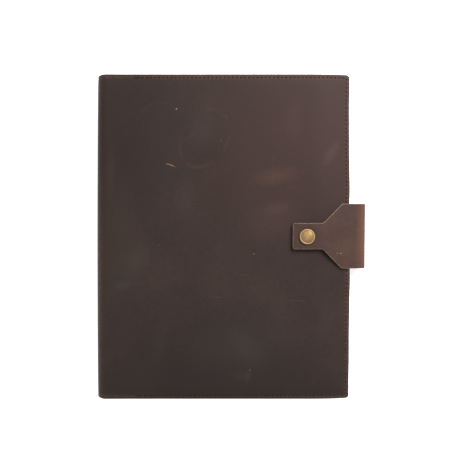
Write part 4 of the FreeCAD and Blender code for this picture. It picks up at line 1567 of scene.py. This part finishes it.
@dataclass
class Studio:
    """The pale floor, the soft lights and the camera straight above the cover."""

    layout: Layout
    camera_x: float = 125.4 * MM
    camera_y: float = 11.3 * MM
    camera_height: float = 690.0 * MM
    lens: float = 56.5
    sky_strength: float = 0.66
    floor_half: float = 3.0
    floor_depth: float = 0.5 * MM
    floor_glow: float = 0.62

    def build(self) -> None:
        """Makes the floor, lights, world and camera."""
        self.floor()
        for lamp in LAMPS:
            self.light(lamp)
        world = bpy.data.worlds.new("studio")
        world.use_nodes = True
        sky = world.node_tree.nodes["Background"]
        sky.inputs["Color"].default_value = (1, 1, 1, 1)
        sky.inputs["Strength"].default_value = self.sky_strength
        bpy.context.scene.world = world
        bpy.context.scene.view_settings.view_transform = "Standard"
        self.camera()

    def floor(self) -> None:
        """A plain pale floor."""
        half, z = self.floor_half, -self.floor_depth
        mesh = bpy.data.meshes.new("floor")
        mesh.from_pydata([(-half, -half, z), (half, -half, z), (half, half, z),
                          (-half, half, z)], [], [(0, 1, 2, 3)])
        g = Graph("floor_white")
        g.shader.inputs["Emission Color"].default_value = (1, 1, 1, 1)
        mesh.materials.append(g.finish((0.9, 0.9, 0.9), 0.9, Specular_IOR_Level=0.1,
                                       Emission_Strength=self.floor_glow))
        new_object("floor", mesh)

    @staticmethod
    def light(lamp: Lamp) -> None:
        """Puts one lamp in the scene, turned to the origin."""
        data = bpy.data.lights.new(lamp.name, "AREA")
        data.size, data.energy, data.color = lamp.size, lamp.power, lamp.colour
        item = bpy.data.objects.new(lamp.name, data)
        item.location = lamp.place
        item.rotation_mode = "QUATERNION"
        item.rotation_quaternion = (-Vector(lamp.place)).to_track_quat("-Z", "Y")
        bpy.context.scene.collection.objects.link(item)

    def camera(self) -> None:
        """Looks straight down on the front cover."""
        data = bpy.data.cameras.new("camera")
        data.lens, data.sensor_width = self.lens, 36.0
        data.clip_start, data.clip_end = 0.01, 20.0
        item = bpy.data.objects.new("camera", data)
        item.location = (self.layout.spine + self.camera_x, self.camera_y,
                         self.layout.thickness + self.camera_height)
        bpy.context.scene.collection.objects.link(item)
        bpy.context.scene.camera = item


def main() -> None:
    """Builds every piece, then the studio."""
    logging.basicConfig(level=logging.INFO, format="%(name)s: %(message)s")
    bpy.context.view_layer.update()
    layout = Layout.from_frame()
    grain = WaxedHide(marks=FRONT_MARKS_AND_SHADING).build()
    strap = WaxedHide("waxed_strap", dark="2d211d", middle="382925", light="43302a",
                      rust="4f362c", rubbed="8f7059", rust_amount=0.3,
                      marks=STRAP_MARKS).build()
    flesh = FleshSide().build()
    dark_edge = CutEdge("dyed_edge", "261b1a", "120c0b").build()
    raw_edge = CutEdge("raw_edge", "a08a7c", "5a443a").build()
    thread = WaxedThread().build()
    hide = CoverHide(layout)
    hide.build((grain, flesh, dark_edge))
    pockets = {side: Pocket(layout, hide, side) for side in Side}
    for pocket in pockets.values():
        pocket.build((grain, flesh, dark_edge))
    Seams(layout, hide, pockets, thread).build()
    Tab(layout).build((strap, flesh, raw_edge))
    Snap(layout, AntiqueBrass().build()).build()
    Notebook(BookCloth().build(), Paper().build()).build()
    Studio(layout).build()


if __name__ == "__main__":
    main()
